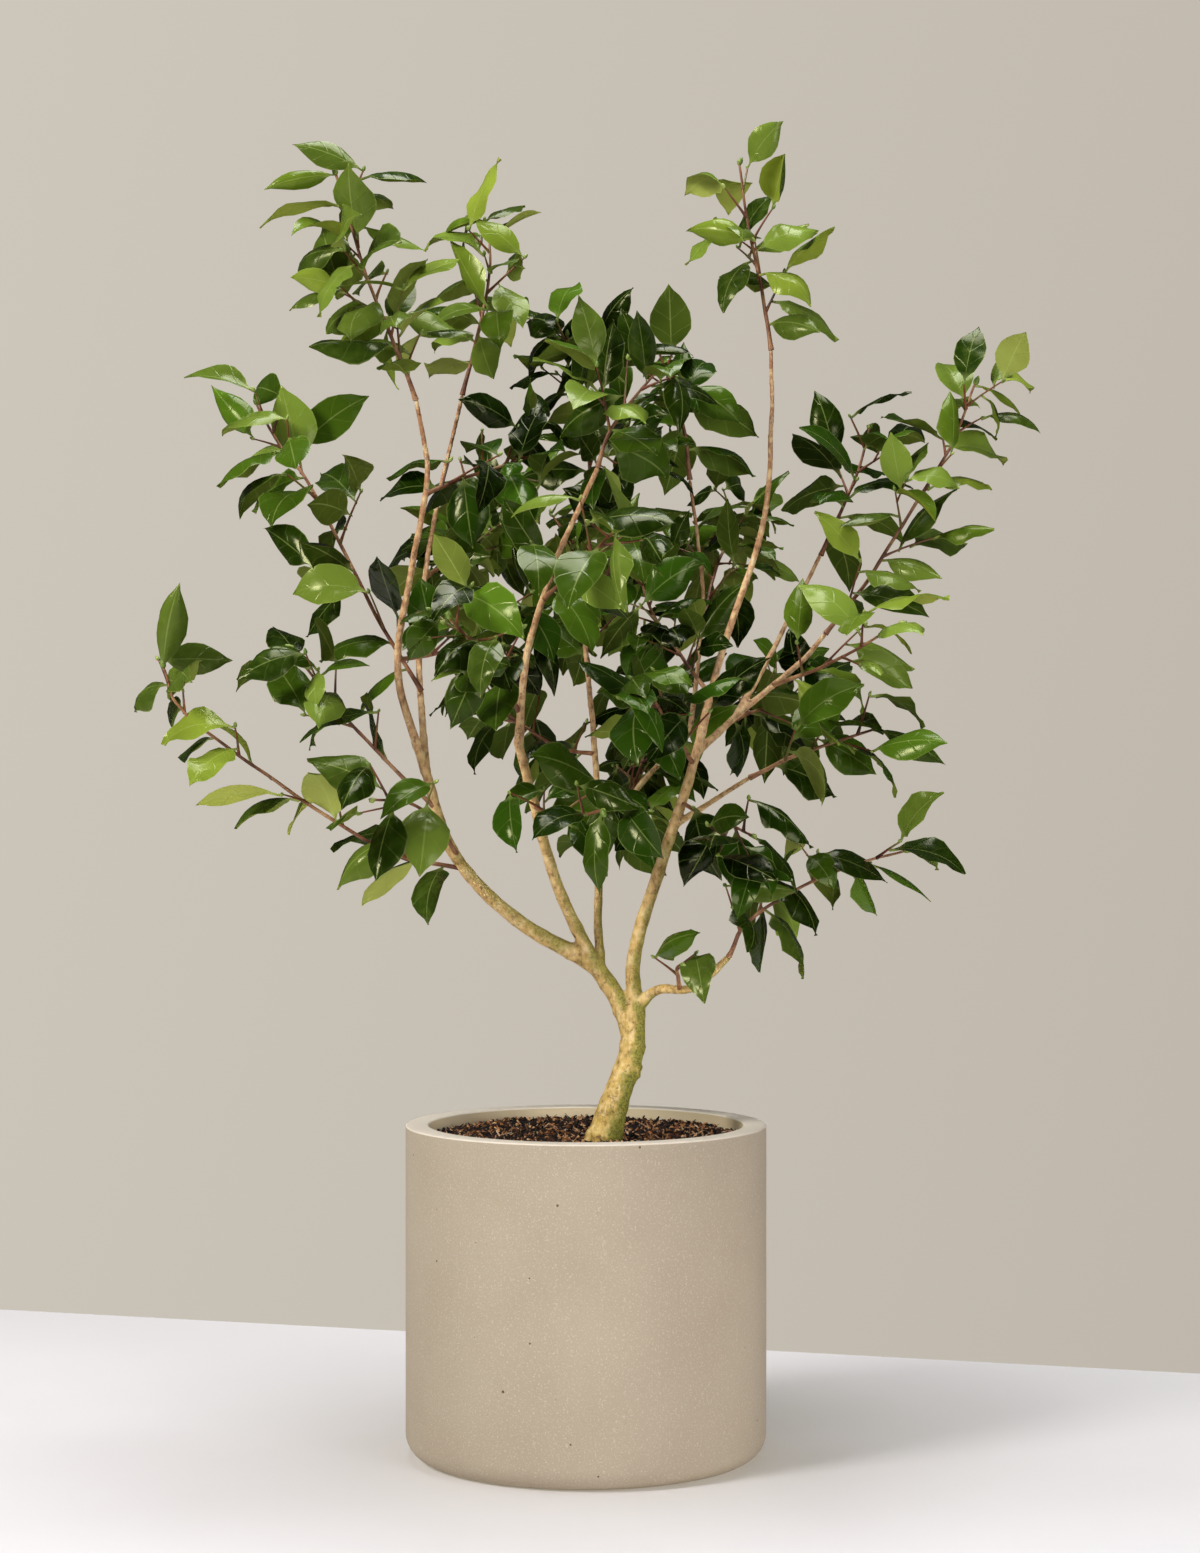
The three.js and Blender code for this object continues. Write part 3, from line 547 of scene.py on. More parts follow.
# %% Table of limbs
LIMBS = [  # name, radii from its first point to its last, path
    ("trunk", [18.5, 13.8, 12.5, 10.9], [(14, -56, 309), (29, -52, 360), (45, -44, 405), (48, -35, 456)]),
    ("left_fork", [9.5, 8.6], [(46, -41, 423), (30, -33, 460), (8, -28, 491)]),
    (
        "right_leader_low", [7.6, 5],
        [(48, -35, 452), (48, -41, 502), (75, -54, 595), (97, -61, 660), (113, -62, 718)],
    ),
    ("right_low_bough", [5.6, 3.4], [(50, -37, 449), (72, -48, 467), (106, -68, 471), (139, -92, 502)]),
    ("left_bough", [8, 5.4], [(8, -28, 491), (-71, -45, 538), (-131, -55, 603), (-157, -54, 681)]),
    ("centre_bough", [6.6, 4.9], [(8, -28, 491), (-29, -48, 572), (-50, -76, 650), (-65, -92, 708)]),
    ("back_bough", [4.8, 4.2], [(14, -30, 490), (12, 0, 545), (14, 40, 610)]),
    (
        "left_leader", [5, 2.9],
        [(-157, -54, 681), (-184, -64, 782), (-168, -86, 885), (-153, -102, 970), (-163, -115, 1040)],
    ),
    ("left_second", [4.4, 2.7], [(-157, -54, 681), (-167, -2, 810), (-155, 38, 930), (-127, 78, 1068)]),
    ("centre_leader", [4.8, 3], [(-65, -92, 708), (-56, -107, 795), (-26, -117, 890), (12, -120, 974)]),
    (
        "right_leader_high", [4.9, 2.5],
        [(113, -62, 718), (134, -56, 800), (174, -47, 922), (183, -41, 1020), (183, -40, 1098)],
    ),
    ("right_bough", [4.3, 3.1], [(109, -62, 701), (150, -38, 738), (213, 4, 790), (240, 12, 820)]),
    ("right_second", [3.8, 2.8], [(148, -39, 736), (192, 20, 812), (240, 80, 904)]),
    ("right_mid_bough", [3.6, 2.7], [(88, -58, 630), (122, -86, 652), (158, -120, 676)]),
    ("back_leader", [4.1, 2.9], [(14, 40, 610), (8, 92, 715), (-2, 118, 839), (4, 130, 965)]),
    ("back_right_bough", [3.9, 3.2], [(14, 40, 610), (52, 98, 664), (109, 160, 726)]),
    ("back_right_leader", [3.2, 2.5], [(109, 160, 726), (122, 152, 860), (107, 110, 984)]),
]


# %% [markdown]
# ### Smooth curves through points
# A Catmull-Rom curve passes through every one of its points. Each stretch is a cubic whose slope at a
# point is half the step between that point's two neighbours.


# %% Curves
def on_curve(path, t):
    """The point at t, from 0 to 1, of the smooth curve through the path's points."""
    points = np.asarray(path, float)
    last = len(points) - 1
    place = last * t
    i = min(int(place), last - 1)
    w = place - i
    before = points[i - 1] if i > 0 else 2 * points[0] - points[1]
    after = points[i + 2] if i + 2 <= last else 2 * points[last] - points[last - 1]
    a, b = points[i], points[i + 1]
    slope_a, slope_b = (b - before) / 2, (after - a) / 2
    bend = -3 * a + 3 * b - 2 * slope_a - slope_b
    swing = 2 * a - 2 * b + slope_a + slope_b
    return a + slope_a * w + bend * w * w + swing * w * w * w


def heading_at(path, t):
    low, high = max(0.0, t - 0.0001), min(1.0, t + 0.0001)
    return unit(on_curve(path, high) - on_curve(path, low))


def curve_points(path, count):
    return np.array([on_curve(path, i / count) for i in range(count + 1)])


def curve_length(path):
    return np.linalg.norm(np.diff(curve_points(path, 200), axis=0), axis=1).sum()


def radius_at(radii, along):
    return np.interp(along, np.linspace(0, 1, len(radii)), radii)


def tubes(name, lines, resolution):
    """A mesh of round tubes, one for each (points, radii), in millimetres, with closed ends."""
    curve = bpy.data.curves.new(name, "CURVE")
    curve.dimensions = "3D"
    curve.bevel_depth = 1.0
    curve.bevel_resolution = resolution
    curve.use_fill_caps = True
    for points, radii in lines:
        spline = curve.splines.new("POLY")
        spline.points.add(len(points) - 1)
        spline.points.foreach_set("co", (np.c_[points * MM, np.ones(len(points))]).ravel())
        spline.points.foreach_set("radius", np.asarray(radii) * MM)
    rod = bpy.data.objects.new(name, curve)
    bpy.context.scene.collection.objects.link(rod)
    graph = bpy.context.evaluated_depsgraph_get()
    mesh = bpy.data.meshes.new_from_object(rod.evaluated_get(graph))
    bpy.data.objects.remove(rod)
    bpy.data.curves.remove(curve)
    return mesh


# %% [markdown]
# ### One skin of bark
# On a real shrub a limb swells where it leaves the one below, and the bark runs over the fork without a
# seam. So each limb is drawn as a tube with a swelling at its root and small swellings at its old leaf
# joints, all tubes are melted together by a voxel remesh, and smoothing rounds the crotches.

# %% Limb tubes
STRETCH = 5  # length of one step along a limb
COLLAR = {"length": 18, "swell": 0.26}  # the swelling at a limb's root
JOINT = {"every": 31, "swell": 0.085, "length": 3.2}  # old leaf joints
WOBBLE = 0.9  # how far a limb strays from its smooth curve
THINNING = {"from": 500, "over": 300, "to": 0.86}  # heights over which the limbs get slimmer

limb_lines = []
for number, (name, radii, path) in enumerate(LIMBS):
    length = curve_length(path)
    count = max(6, round(length / STRETCH))
    share = np.linspace(0, 1, count + 1)
    points = curve_points(path, count)
    radius = radius_at(radii, share)
    if name == "trunk":
        radius = radius * (1 + 0.06 * np.exp(-share * length / 10))
    else:
        radius = radius * (1 + COLLAR["swell"] * np.exp(-share * length / COLLAR["length"]))
    joints = np.arange(JOINT["every"] * (0.5 + 0.31 * (number % 3)), length, JOINT["every"])
    for i, spot in enumerate(joints):
        bulge = np.exp(-(((share * length - spot) / JOINT["length"]) ** 2))
        radius = radius * (1 + JOINT["swell"] * bulge * (1.4 if i % 3 == 0 else 0.8))
    stray = [noise.noise_vector(Vector((number * 7.3, s * length / 34, 0.5))) for s in share]
    fade = np.clip(np.minimum(share, 1 - share) * 6, 0, 1)[:, None]
    points = points + np.array(stray) * WOBBLE * fade
    thinner = mix(1, THINNING["to"], np.clip((points[:, 2] - THINNING["from"]) / THINNING["over"], 0, 1))
    limb_lines.append((points, radius * thinner))
print("limbs:", len(limb_lines), "longest, steps:", max(len(p) for p, _ in limb_lines))

# %% Melting the limbs together
VOXEL = 1.45
SMOOTHINGS = 4
bark_rods = show(tubes("bark_rods", limb_lines, 5), "bark_rods")
melt = bark_rods.modifiers.new("melt", "REMESH")
melt.mode = "VOXEL"
melt.voxel_size = VOXEL * MM
graph = bpy.context.evaluated_depsgraph_get()
bark_mesh = bpy.data.meshes.new_from_object(bark_rods.evaluated_get(graph))
bpy.data.objects.remove(bark_rods)

bark_shape = bmesh.new()
bark_shape.from_mesh(bark_mesh)
for _ in range(SMOOTHINGS):
    bmesh.ops.smooth_vert(
        bark_shape, verts=bark_shape.verts, factor=0.5, use_axis_x=True, use_axis_y=True, use_axis_z=True
    )
bark_shape.normal_update()
print("bark vertices:", len(bark_shape.verts))

# %% [markdown]
# ### Relief
# Camellia bark is smooth but never even. Noise lifts it, most on the trunk and little on young limbs. A
# ring with a hollow in it makes the knot where an old branch was lost, and weaker ones make scars.

# %% Bark relief
KNOTS = [  # place, radius of the ring, height of the ring, depth of its hollow
    ((52, -50, 387), 6.2, 2.6, 3.4),
    ((31, -64, 372), 3.6, 0.9, 0.8),
    ((-66, -50, 531), 3.2, 0.9, 0.7),
    ((58, -52, 523), 3.0, 0.9, 0.7),
    ((4, -41, 497), 4.0, 1.0, 0.6),
]


def bark_lift(place):
    """How far the bark stands out at a place, in millimetres."""
    low = 1 - min(1.0, max(0.0, (place.z - 320) / 260))
    lumps = noise.noise(place / 13) * mix(0.22, 0.95, low)
    wrinkles = noise.fractal(Vector((place.x, place.y, place.z * 0.6)) / 3.4, 1.0, 2.0, 3)
    lift = lumps + wrinkles * mix(0.13, 0.34, low)
    for spot, ring, height, hollow in KNOTS:
        off = (place - Vector(spot)).length
        if off < ring * 2:
            lift += height * math.exp(-(((off - ring * 0.8) / (ring * 0.35)) ** 2))
            lift -= hollow * math.exp(-((off / (ring * 0.42)) ** 2))
    return lift


for vert in bark_shape.verts:
    vert.co += vert.normal * bark_lift(vert.co / MM) * MM
bmesh.ops.recalc_face_normals(bark_shape, faces=bark_shape.faces)
bark_shape.to_mesh(bark_mesh)
bark_shape.free()
bark_mesh.shade_smooth()
bark_mesh.materials.clear()
print("bark faces:", len(bark_mesh.polygons))

# %% [markdown]
# ### Hollows of the bark
# Crotches and creases are painted darker, as painted shade. A place is hollow where the vertices next to
# it lie further out than it does. That is measured once for each vertex and kept as an attribute, for the
# material to read.


# %% Measuring hollows
def read_all(items, name, width=1, kind=float):
    """One value, or a row of width values, from every item of a mesh's list."""
    values = np.empty(len(items) * width, kind)
    items.foreach_get(name, values)
    return values.reshape(-1, width) if width > 1 else values


places = read_all(bark_mesh.vertices, "co", 3)
normals = read_all(bark_mesh.vertices, "normal", 3)
edges = read_all(bark_mesh.edges, "vertices", 2, np.int32)


def around(values):
    """The mean of a value over the vertices next to each vertex."""
    total = np.zeros_like(values)
    np.add.at(total, edges[:, 0], values[edges[:, 1]])
    np.add.at(total, edges[:, 1], values[edges[:, 0]])
    share = np.bincount(edges.ravel(), minlength=len(places)).reshape((-1,) + (1,) * (values.ndim - 1))
    return total / share


hollow = ((around(places) - places) * normals).sum(1) / (VOXEL * MM)
for _ in range(2):
    hollow = (hollow + around(hollow)) / 2
bark_mesh.attributes.new("hollow", "FLOAT", "POINT").data.foreach_set("value", hollow)
print("hollow, 2nd to 98th hundredth:", np.percentile(hollow, [2, 50, 98]).round(3))

# %% [markdown]
# ### Bark colours
# The trunk is yellow-tan and freckled dark. Its side away from the window is painted olive green, partly
# algae and partly painted shade, with dark flecks of its own. Higher up the bark is younger: tan, then a
# thin orange-brown that flakes in fine strips. Height above the soil picks the colour. The freckles are 1
# to 2 mm across, drawn a little coarser than they are.

# %% Bark by height
BY_HEIGHT = [
    (0.0, "#cfad56"), (0.16, "#d3b068"), (0.34, "#d6b06e"), (0.55, "#d4a678"), (0.8, "#bd8a60"),
    (1.0, "#a06a47"),
]
bark_skin, tree, shader, place = new_material("camellia_bark", 0.72)
height = add_node(tree, "SeparateXYZ", [place], "Z")
climb = add_node(tree, "MapRange", [height, 0.32, 1.08])
patches = add_node(tree, "TexNoise", grain(place, 28))
shifted = add_node(tree, "Math", [patches, 0.30, climb], operation="MULTIPLY_ADD")
tone = add_node(tree, "ValToRGB", [add_node(tree, "MapRange", [shifted, 0.15, 1.15])], stops=BY_HEIGHT)

# %% What drives its marks
drawn_out = add_node(tree, "VectorMath", [place, (1, 1, 0.3)], operation="MULTIPLY")
strips = add_node(tree, "TexNoise", grain(drawn_out, 3.4, 6.0))
mottle = add_node(tree, "TexNoise", grain(place, 8, 5.0))
fine = add_node(tree, "TexNoise", grain(place, 2.4, 5.0))
freckles = add_node(tree, "Math", [mottle, -0.5, fine], operation="MULTIPLY_ADD")
crease = add_node(tree, "Attribute", output="Fac", attribute_name="hollow")
# The right side faces away from the window: the algae coat there is also painted shade.
to_right = add_node(tree, "SeparateXYZ", [add_node(tree, "TexCoord", output="Normal")], "X")
cloud = add_node(tree, "TexNoise", grain(place, 17, 6.0))
damp_and_shaded_side = add_node(tree, "Math", [cloud, 2.0, to_right], operation="MULTIPLY_ADD")
damp_and_shaded_side = add_node(tree, "MapRange", [damp_and_shaded_side, 0.85, 1.45])
low = add_node(tree, "MapRange", [height, 0.42, 0.72, 0.9, 0.0])
algae_and_shade = add_node(tree, "Math", [damp_and_shaded_side, low], operation="MULTIPLY")
flecks = add_node(tree, "MapRange", [fine, 0.43, 0.53, 0.6, 0.0])
flecks = add_node(tree, "Math", [flecks, algae_and_shade], operation="MULTIPLY")

# %% Coats of the bark
BARK_COATS = [  # colour, what drives it, where it starts, where it is thickest, how thick
    ("#efd59a", mottle, 0.50, 0.64, 0.6),  # weathered patches
    ("#866238", mottle, 0.46, 0.34, 0.5),  # browner patches
    ("#6c4c2c", strips, 0.55, 0.68, 0.45),  # the gaps between strips
    ("#f2dfb6", strips, 0.45, 0.34, 0.4),  # strips about to flake off
    # algae, and painted shade on the side away from the window
    ("#94942f", algae_and_shade, 0.0, 1.0, 1.0),
    ("#4d4a1c", crease, 0.02, 0.12, 0.75),  # painted shade in the hollows
    ("#4a3818", freckles, 0.35, 0.44, 0.6),
    # dark flecks, laid over the algae and the painted shade
    ("#363612", flecks, 0.0, 1.0, 1.0),
]
for mark in BARK_COATS:
    tone = coat(tree, tone, *mark)
finish(tree, shader, tone, add_node(tree, "Math", [strips, fine], operation="ADD"), 0.8)

bark = show(bark_mesh, "bark", bark_skin)
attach(bark, "root")
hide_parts(*[name for name, _, _ in LIMBS])
print("bark triangles:", triangles(bark))

# %% [markdown]
# ## The sprays
# Each spray is one stem that carries twigs and leaves. The rule is the one that made the solids: a seeded
# stream of numbers, twigs that leave the stem by the golden angle, and leaves on alternate sides of each
# twig. Everything a stem carries stays within its reach and nearer to it than to any other stem.

# %% Table of sprays
SPRAYS = [  # name, seed, reach, path of the stem
    (
        "left_low_spray", 21, 74,
        [(-118, -53, 586), (-196, -70, 605), (-300, -92, 672), (-388, -100, 738), (-408, -100, 782)],
    ),
    (
        "left_hanging_spray", 13, 84,
        [(-126, -55, 600), (-146, -98, 634), (-170, -135, 652), (-200, -165, 655)],
    ),
    ("left_mid_spray", 35, 90, [(-147, -56, 645), (-206, -80, 704), (-250, -95, 755), (-282, -105, 800)]),
    (
        "left_upper_spray", 40, 88,
        [(-163, -25, 762), (-210, -15, 840), (-275, 2, 965), (-308, 10, 1010), (-330, 12, 1050)],
    ),
    (
        "top_left_spray", 14, 88,
        [(-163, -115, 1040), (-190, -120, 1108), (-210, -122, 1158), (-240, -118, 1256)],
    ),
    (
        "top_left_inner_spray", 44, 90,
        [(-127, 78, 1068), (-110, 86, 1139), (-100, 88, 1190), (-100, 90, 1232)],
    ),
    ("inner_left_spray", 38, 88, [(-155, -98, 950), (-125, -60, 968), (-85, -20, 985), (-50, 25, 1002)]),
    ("inner_low_spray", 68, 84, [(-184, -66, 791), (-140, -40, 800), (-95, -18, 815), (-48, 0, 832)]),
    ("crown_top_spray", 81, 100, [(4, 130, 965), (2, 134, 1030), (-7, 130, 1085), (-20, 125, 1135)]),
    ("crown_front_spray", 78, 100, [(12, -120, 974), (22, -124, 1006), (42, -128, 1034), (66, -132, 1062)]),
    ("crown_inner_spray", 19, 84, [(-2, 118, 845), (28, 80, 900), (40, 40, 950), (30, 5, 1010)]),
    ("crown_right_spray", 18, 88, [(107, 110, 984), (101, 106, 1036), (89, 100, 1075), (76, 96, 1112)]),
    ("top_right_spray", 3, 78, [(183, -40, 1098), (174, -35, 1159), (162, -30, 1215), (152, -25, 1284)]),
    (
        "right_upper_spray", 73, 84,
        [(240, 12, 820), (284, 22, 876), (332, 30, 952), (368, 28, 1010), (392, 25, 1072)],
    ),
    ("right_inner_spray", 9, 86, [(240, 80, 904), (262, 92, 950), (280, 98, 992), (292, 100, 1036)]),
    ("right_middle_spray", 8, 86, [(186, -14, 768), (226, -56, 782), (262, -96, 800), (300, -125, 822)]),
    ("right_mid_spray", 10, 86, [(158, -120, 676), (196, -135, 695), (238, -145, 710), (275, -150, 722)]),
    (
        "right_low_spray", 57, 84,
        [(139, -92, 502), (155, -106, 534), (197, -120, 565), (250, -130, 590), (305, -135, 606)],
    ),
    ("right_low_tuft", 1, 66, [(92, -60, 468), (90, -84, 482), (88, -112, 492), (92, -142, 498)]),
    (
        "right_front_low_spray", 13, 84,
        [(94, -60, 651), (114, -106, 640), (138, -148, 630), (158, -190, 622)],
    ),
    ("centre_low_spray", 89, 94, [(-50, -76, 648), (-30, -130, 640), (-4, -186, 640), (16, -238, 646)]),
    ("front_right_spray", 4, 94, [(105, -62, 690), (92, -120, 707), (76, -190, 730), (64, -262, 747)]),
    ("front_left_spray", 74, 94, [(-64, -98, 740), (-84, -160, 778), (-106, -230, 803), (-122, -298, 820)]),
    ("front_centre_spray", 20, 98, [(-40, -113, 848), (-14, -180, 868), (10, -250, 885), (28, -306, 899)]),
    ("centre_inner_spray", 39, 84, [(122, -60, 757), (92, -30, 800), (66, -8, 842), (52, 8, 884)]),
    (
        "back_left_spray", 59, 96,
        [(-160, 24, 880), (-135, 90, 900), (-113, 165, 926), (-96, 240, 946), (-84, 305, 958)],
    ),
    ("back_low_spray", 86, 94, [(13, 30, 595), (38, 100, 640), (60, 190, 700), (68, 280, 758)]),
    ("back_centre_spray", 43, 94, [(3, 105, 780), (-6, 180, 850), (-12, 250, 905), (-16, 315, 940)]),
    ("back_right_spray", 67, 94, [(121, 156, 830), (136, 210, 893), (154, 270, 935), (164, 325, 962)]),
    ("back_left_low_spray", 20, 92, [(9, 85, 700), (-34, 150, 708), (-72, 215, 735), (-104, 275, 755)]),
    ("back_right_low_spray", 47, 92, [(138, -46, 728), (172, 40, 744), (196, 130, 752), (210, 215, 765)]),
]

# %% [markdown]
# ### The rule's numbers
# They are those of the solids, so that the same twigs and leaves grow in the same places. The stream of
# numbers is the same too: one draw more or less would change all of a spray that comes after it.

# %% Sizes of the rule
STEM = [2.6, 1.5]  # radii
TWIG = {
    "every": 34,  # along the stem
    "length": (0.5, 0.8),  # of the spray's reach
    "bare": 26,  # length of stem, from its root, that carries none
    "leaves": [1, 0.3, 0.55, 0.8, 1],  # where along a twig they stand, the first one ending it
}
LEAF = {
    "length": (66, 88),
    "width": 0.58,  # of the length
    "every": 20,  # along the stem
    "at_tip": 4,  # how many more crowd round the end of the stem
    # places along the blade and its half width there, of the length
    "margins": [(0.36, 0.47), (0.72, 0.37), (0.54, 0.47), (0.88, 0.18)],  # tried against limbs and stems
    "grid": [(0.16, 0.16), (0.33, 0.4), (0.5, 0.45), (0.67, 0.4), (0.84, 0.22), (1, 0)],  # what it hides
    "arch": (0.05, 0.28),  # how far the tip hangs, of the length
    "room": (0.27, 0.21, 0.1),  # a leaf keeps to itself this much of its length
    "tries": 4,  # how many are drawn for one joint before it stays bare
    "turn": 1.3,  # between two tries
}
SUNK = 0.4  # how deep a leaf's root sits in its twig
LIMB_CLEARANCE = 2.2  # between a twig or a leaf's outline and any limb
MIDDLE_CLEARANCE = 9  # between the middle of a leaf and any limb
TWIG_CLEARANCE = 5  # between a leaf and the stem and the twigs of its spray
GROUND_CLEARANCE = 20
SPACE_MARGIN = 2.5  # how much nearer to its own stem than to the next
HANG = {"from": 480, "to": 950, "low": (-0.9, 0), "high": (-0.4, 0.3)}  # slopes of leaves low and high up
IN_SIGHT = [
    "left_bough", "left_leader", "left_second", "centre_bough", "centre_leader", "right_leader_low",
    "right_leader_high", "right_bough",
]
SIGHT_CLEARANCE = 6  # between a limb in sight and a leaf before it
MAY_HIDE = 0.12  # share of the leaves that may hang before them all the same
CROWN_CENTRE = np.array([25, -10, 0])
WINDOW = unit(np.array([-0.35, -0.75, 0.55]))


def number_stream(seed):
    """A repeatable stream of numbers from 0 to 1. The same seed always gives the same spray."""
    state = seed * 2654435761 & 0xFFFFFFFF

    def draw():
        nonlocal state
        state = (state * 1664525 + 1013904223) & 0xFFFFFFFF
        return state / 4294967296

    return draw


# %% [markdown]
# ### Keeping to its own space
# A twig or a leaf lies nearer to its own stem than to any other, stays off the limbs, and seldom hangs
# before a limb that is to stay in sight. Each of these comes down to how far points are from lines.


# %% Each spray's own space
def nearest(points, lines):
    """How far each point is from each line of straight stretches, and where along it, from 0 to 1.
    points is (p, 3), and lines is (n, corners, 3)."""
    start = lines[:, :-1]
    stretch = lines[:, 1:] - start
    off = points[:, None, None] - start
    share = np.clip((off * stretch).sum(-1) / (stretch * stretch).sum(-1), 0, 1)
    distance = np.linalg.norm(off - share[..., None] * stretch, axis=-1)
    best = distance.argmin(-1)[..., None]
    along = (best + np.take_along_axis(share, best, -1)) / stretch.shape[1]
    return np.take_along_axis(distance, best, -1)[..., 0], along[..., 0]


STEM_STRETCHES, LIMB_STRETCHES = 8, 12
STEM_LINES = np.array([curve_points(path, STEM_STRETCHES) for _, _, _, path in SPRAYS])
LIMB_LINES = np.array([curve_points(path, LIMB_STRETCHES) for _, _, path in LIMBS])


def clear_of_limbs(points, clearance):
    distance, along = nearest(points, LIMB_LINES)
    for i, (_, radii, _) in enumerate(LIMBS):
        if (distance[:, i] <= radius_at(radii, along[:, i]) + clearance).any():
            return False
    return True


def in_space(points, number, margin=SPACE_MARGIN):
    if points[:, 2].min() < SOIL_TOP + GROUND_CLEARANCE:
        return False
    distance = nearest(points, STEM_LINES)[0]
    own = distance[:, number].copy()
    distance[:, number] = np.inf
    return bool((own <= SPRAYS[number][2]).all() and (distance.min(1) > own + margin).all())


def fits(points, number, clearance, margin=SPACE_MARGIN):
    return in_space(points, number, margin) and clear_of_limbs(points, clearance)


def seen(points):
    """Where points are seen from the camera, on an upright pane through the origin."""
    eye = np.array(CAMERA_PLACE, float)
    share = -eye[1] / (points[..., 1] - eye[1])
    return np.stack([(points[..., 0] - eye[0]) * share, 0 * share, (points[..., 2] - eye[2]) * share], -1)


SIGHT_LIMBS = [i for i, (name, _, _) in enumerate(LIMBS) if name in IN_SIGHT]
SIGHT_LINES = seen(LIMB_LINES[SIGHT_LIMBS])


def hides(points):
    """Whether any of the points stands before a limb that is to stay in sight."""
    distance, along = nearest(seen(points), SIGHT_LINES)
    for i, limb in enumerate(SIGHT_LIMBS):
        close = distance[:, i] <= radius_at(LIMBS[limb][1], along[:, i]) + SIGHT_CLEARANCE
        corner = np.floor(along[:, i] * LIMB_STRETCHES + 0.5).astype(int)
        behind = LIMB_LINES[limb][corner, 1]
        if (close & (points[:, 1] < behind)).any():
            return True
    return False


# %% [markdown]
# ### A leaf's place
# A leaf grows out and away from its twig, and turns its upper face to the light and the viewer. It needs
# room: not to crowd its neighbours, to stay off the limbs and twigs, and to keep to its spray's space.


# %% Leaves of the rule
def leaf_point(leaf, at, across=0.0):
    length = leaf["length"]
    return (
        leaf["root"] + leaf["along"] * at * length - UP * leaf["arch"] * at * at * length
        + leaf["side"] * across * length * LEAF["width"]
    )


def leaf_outline(leaf):
    points = [leaf_point(leaf, 1)]
    for at, half in LEAF["margins"]:
        points += [leaf_point(leaf, at, half), leaf_point(leaf, at, -half)]
    return np.array(points)


def leaf_grid(leaf):
    return np.array([leaf_point(leaf, at, side * half) for at, half in LEAF["grid"] for side in (-1, 0, 1)])


def leaf_from(point, heading, away, draw, lengths=LEAF["length"]):
    draws = [draw() for _ in range(8)]
    outward = unit((point - CROWN_CENTRE) * (1, 1, 0))
    climb = min(1, max(0, (point[2] - HANG["from"]) / (HANG["to"] - HANG["from"])))
    lowest, highest = (mix(HANG["low"][i], HANG["high"][i], climb) for i in (0, 1))
    along = heading * 0.4 + away * 0.85 + outward * 0.45
    along = unit(along + (mix(-0.4, 0.4, draws[0]), mix(-0.4, 0.4, draws[1]), mix(lowest, highest, draws[2])))
    face = UP * 0.4 + outward * 0.35 + WINDOW
    face = face + (mix(-0.5, 0.5, draws[3]), mix(-0.6, 0.9, draws[4]), 0)
    face = unit(face - along * face.dot(along))
    return {
        "root": point - along * SUNK,
        "along": along,
        "face": face,
        "side": np.cross(along, face),
        "length": mix(*lengths, draws[5]),
        "arch": mix(*LEAF["arch"], draws[6]),
        "may_hide": draws[7] < MAY_HIDE,
    }


def away_from(heading, angle):
    """A direction square to a heading, turned about it by an angle."""
    level = np.cross(heading, UP)
    level = unit(level) if level @ level > 1e-6 else np.array([1.0, 0, 0])
    lifted = unit(np.cross(level, heading))
    return level * math.cos(angle) + lifted * math.sin(angle)


class Company:
    """The leaves that a spray has so far, held so that a new one is tried against all of them at once."""

    def __init__(self):
        self.leaves = []
        self.middles = np.empty((0, 3, 3))
        self.rooms = np.empty((0, 3, 3))

    @staticmethod
    def of(leaf):
        middles = np.array([leaf_point(leaf, at) for at in (0.32, 0.62, 0.9)])
        room = np.array([leaf[axis] * share for axis, share in zip(("along", "side", "face"), LEAF["room"])])
        return middles, room * leaf["length"]

    def crowds(self, leaf, ease=1.0):
        """Whether a leaf would stand in the room of any other: half of each one's room reaches as far."""
        if not self.leaves:
            return False
        middles, room = self.of(leaf)
        between = self.middles[:, :, None] - middles[None, None]
        distance = np.linalg.norm(between, axis=-1)
        between = between / np.maximum(distance, 1e-9)[..., None]
        own = np.linalg.norm(between @ room.T, axis=-1)
        others = np.linalg.norm(np.einsum("nijk,nak->nija", between, self.rooms), axis=-1)
        return bool((distance < (own + others) * ease).any())

    def take_in(self, has_room, point, heading, angle, draw, lengths=LEAF["length"]):
        """Draws a few leaves for one joint, and keeps the first of them that has room."""
        ways = [away_from(heading, angle + i * LEAF["turn"]) for i in range(LEAF["tries"])]
        tries = [leaf_from(point, heading, away, draw, lengths) for away in ways]
        leaf = next(filter(has_room, tries), None)
        if leaf:
            middles, room = self.of(leaf)
            self.leaves.append(leaf)
            self.middles = np.append(self.middles, middles[None], 0)
            self.rooms = np.append(self.rooms, room[None], 0)
        return leaf


# %% Twigs and leaves of one spray
def round_half_up(value):
    return math.floor(value + 0.5)


def twig_from(start, heading, turn, far):
    """A twig that leaves its stem forward, outward and a little up, and ends at its outermost leaf."""
    leave = unit(heading * 0.6 + away_from(heading, turn) * 0.8 + UP * 0.3)
    return {"start": start, "tip": start + leave * far, "leave": leave, "reach": 0}


def on_twig(twig, share):
    return twig["start"] + (twig["tip"] - twig["start"]) * share


def grow_twigs(number, length, draw):
    _, _, reach, path = SPRAYS[number]
    twigs = []
    count = max(3, round_half_up(length / TWIG["every"]))
    for i in range(count):
        at = mix(TWIG["bare"] / length, 0.95, (i + 0.5) / count)
        turn = i * GOLDEN_ANGLE + draw() * 0.6
        far = reach * mix(*TWIG["length"], draw()) * mix(1, 0.6, at)
        twig = twig_from(on_curve(path, at), heading_at(path, at), turn, far)
        outer_half = np.array([(twig["start"] + twig["tip"]) / 2, on_twig(twig, 0.75), twig["tip"]])
        if fits(outer_half, number, LIMB_CLEARANCE):
            twigs.append(twig)
    return twigs


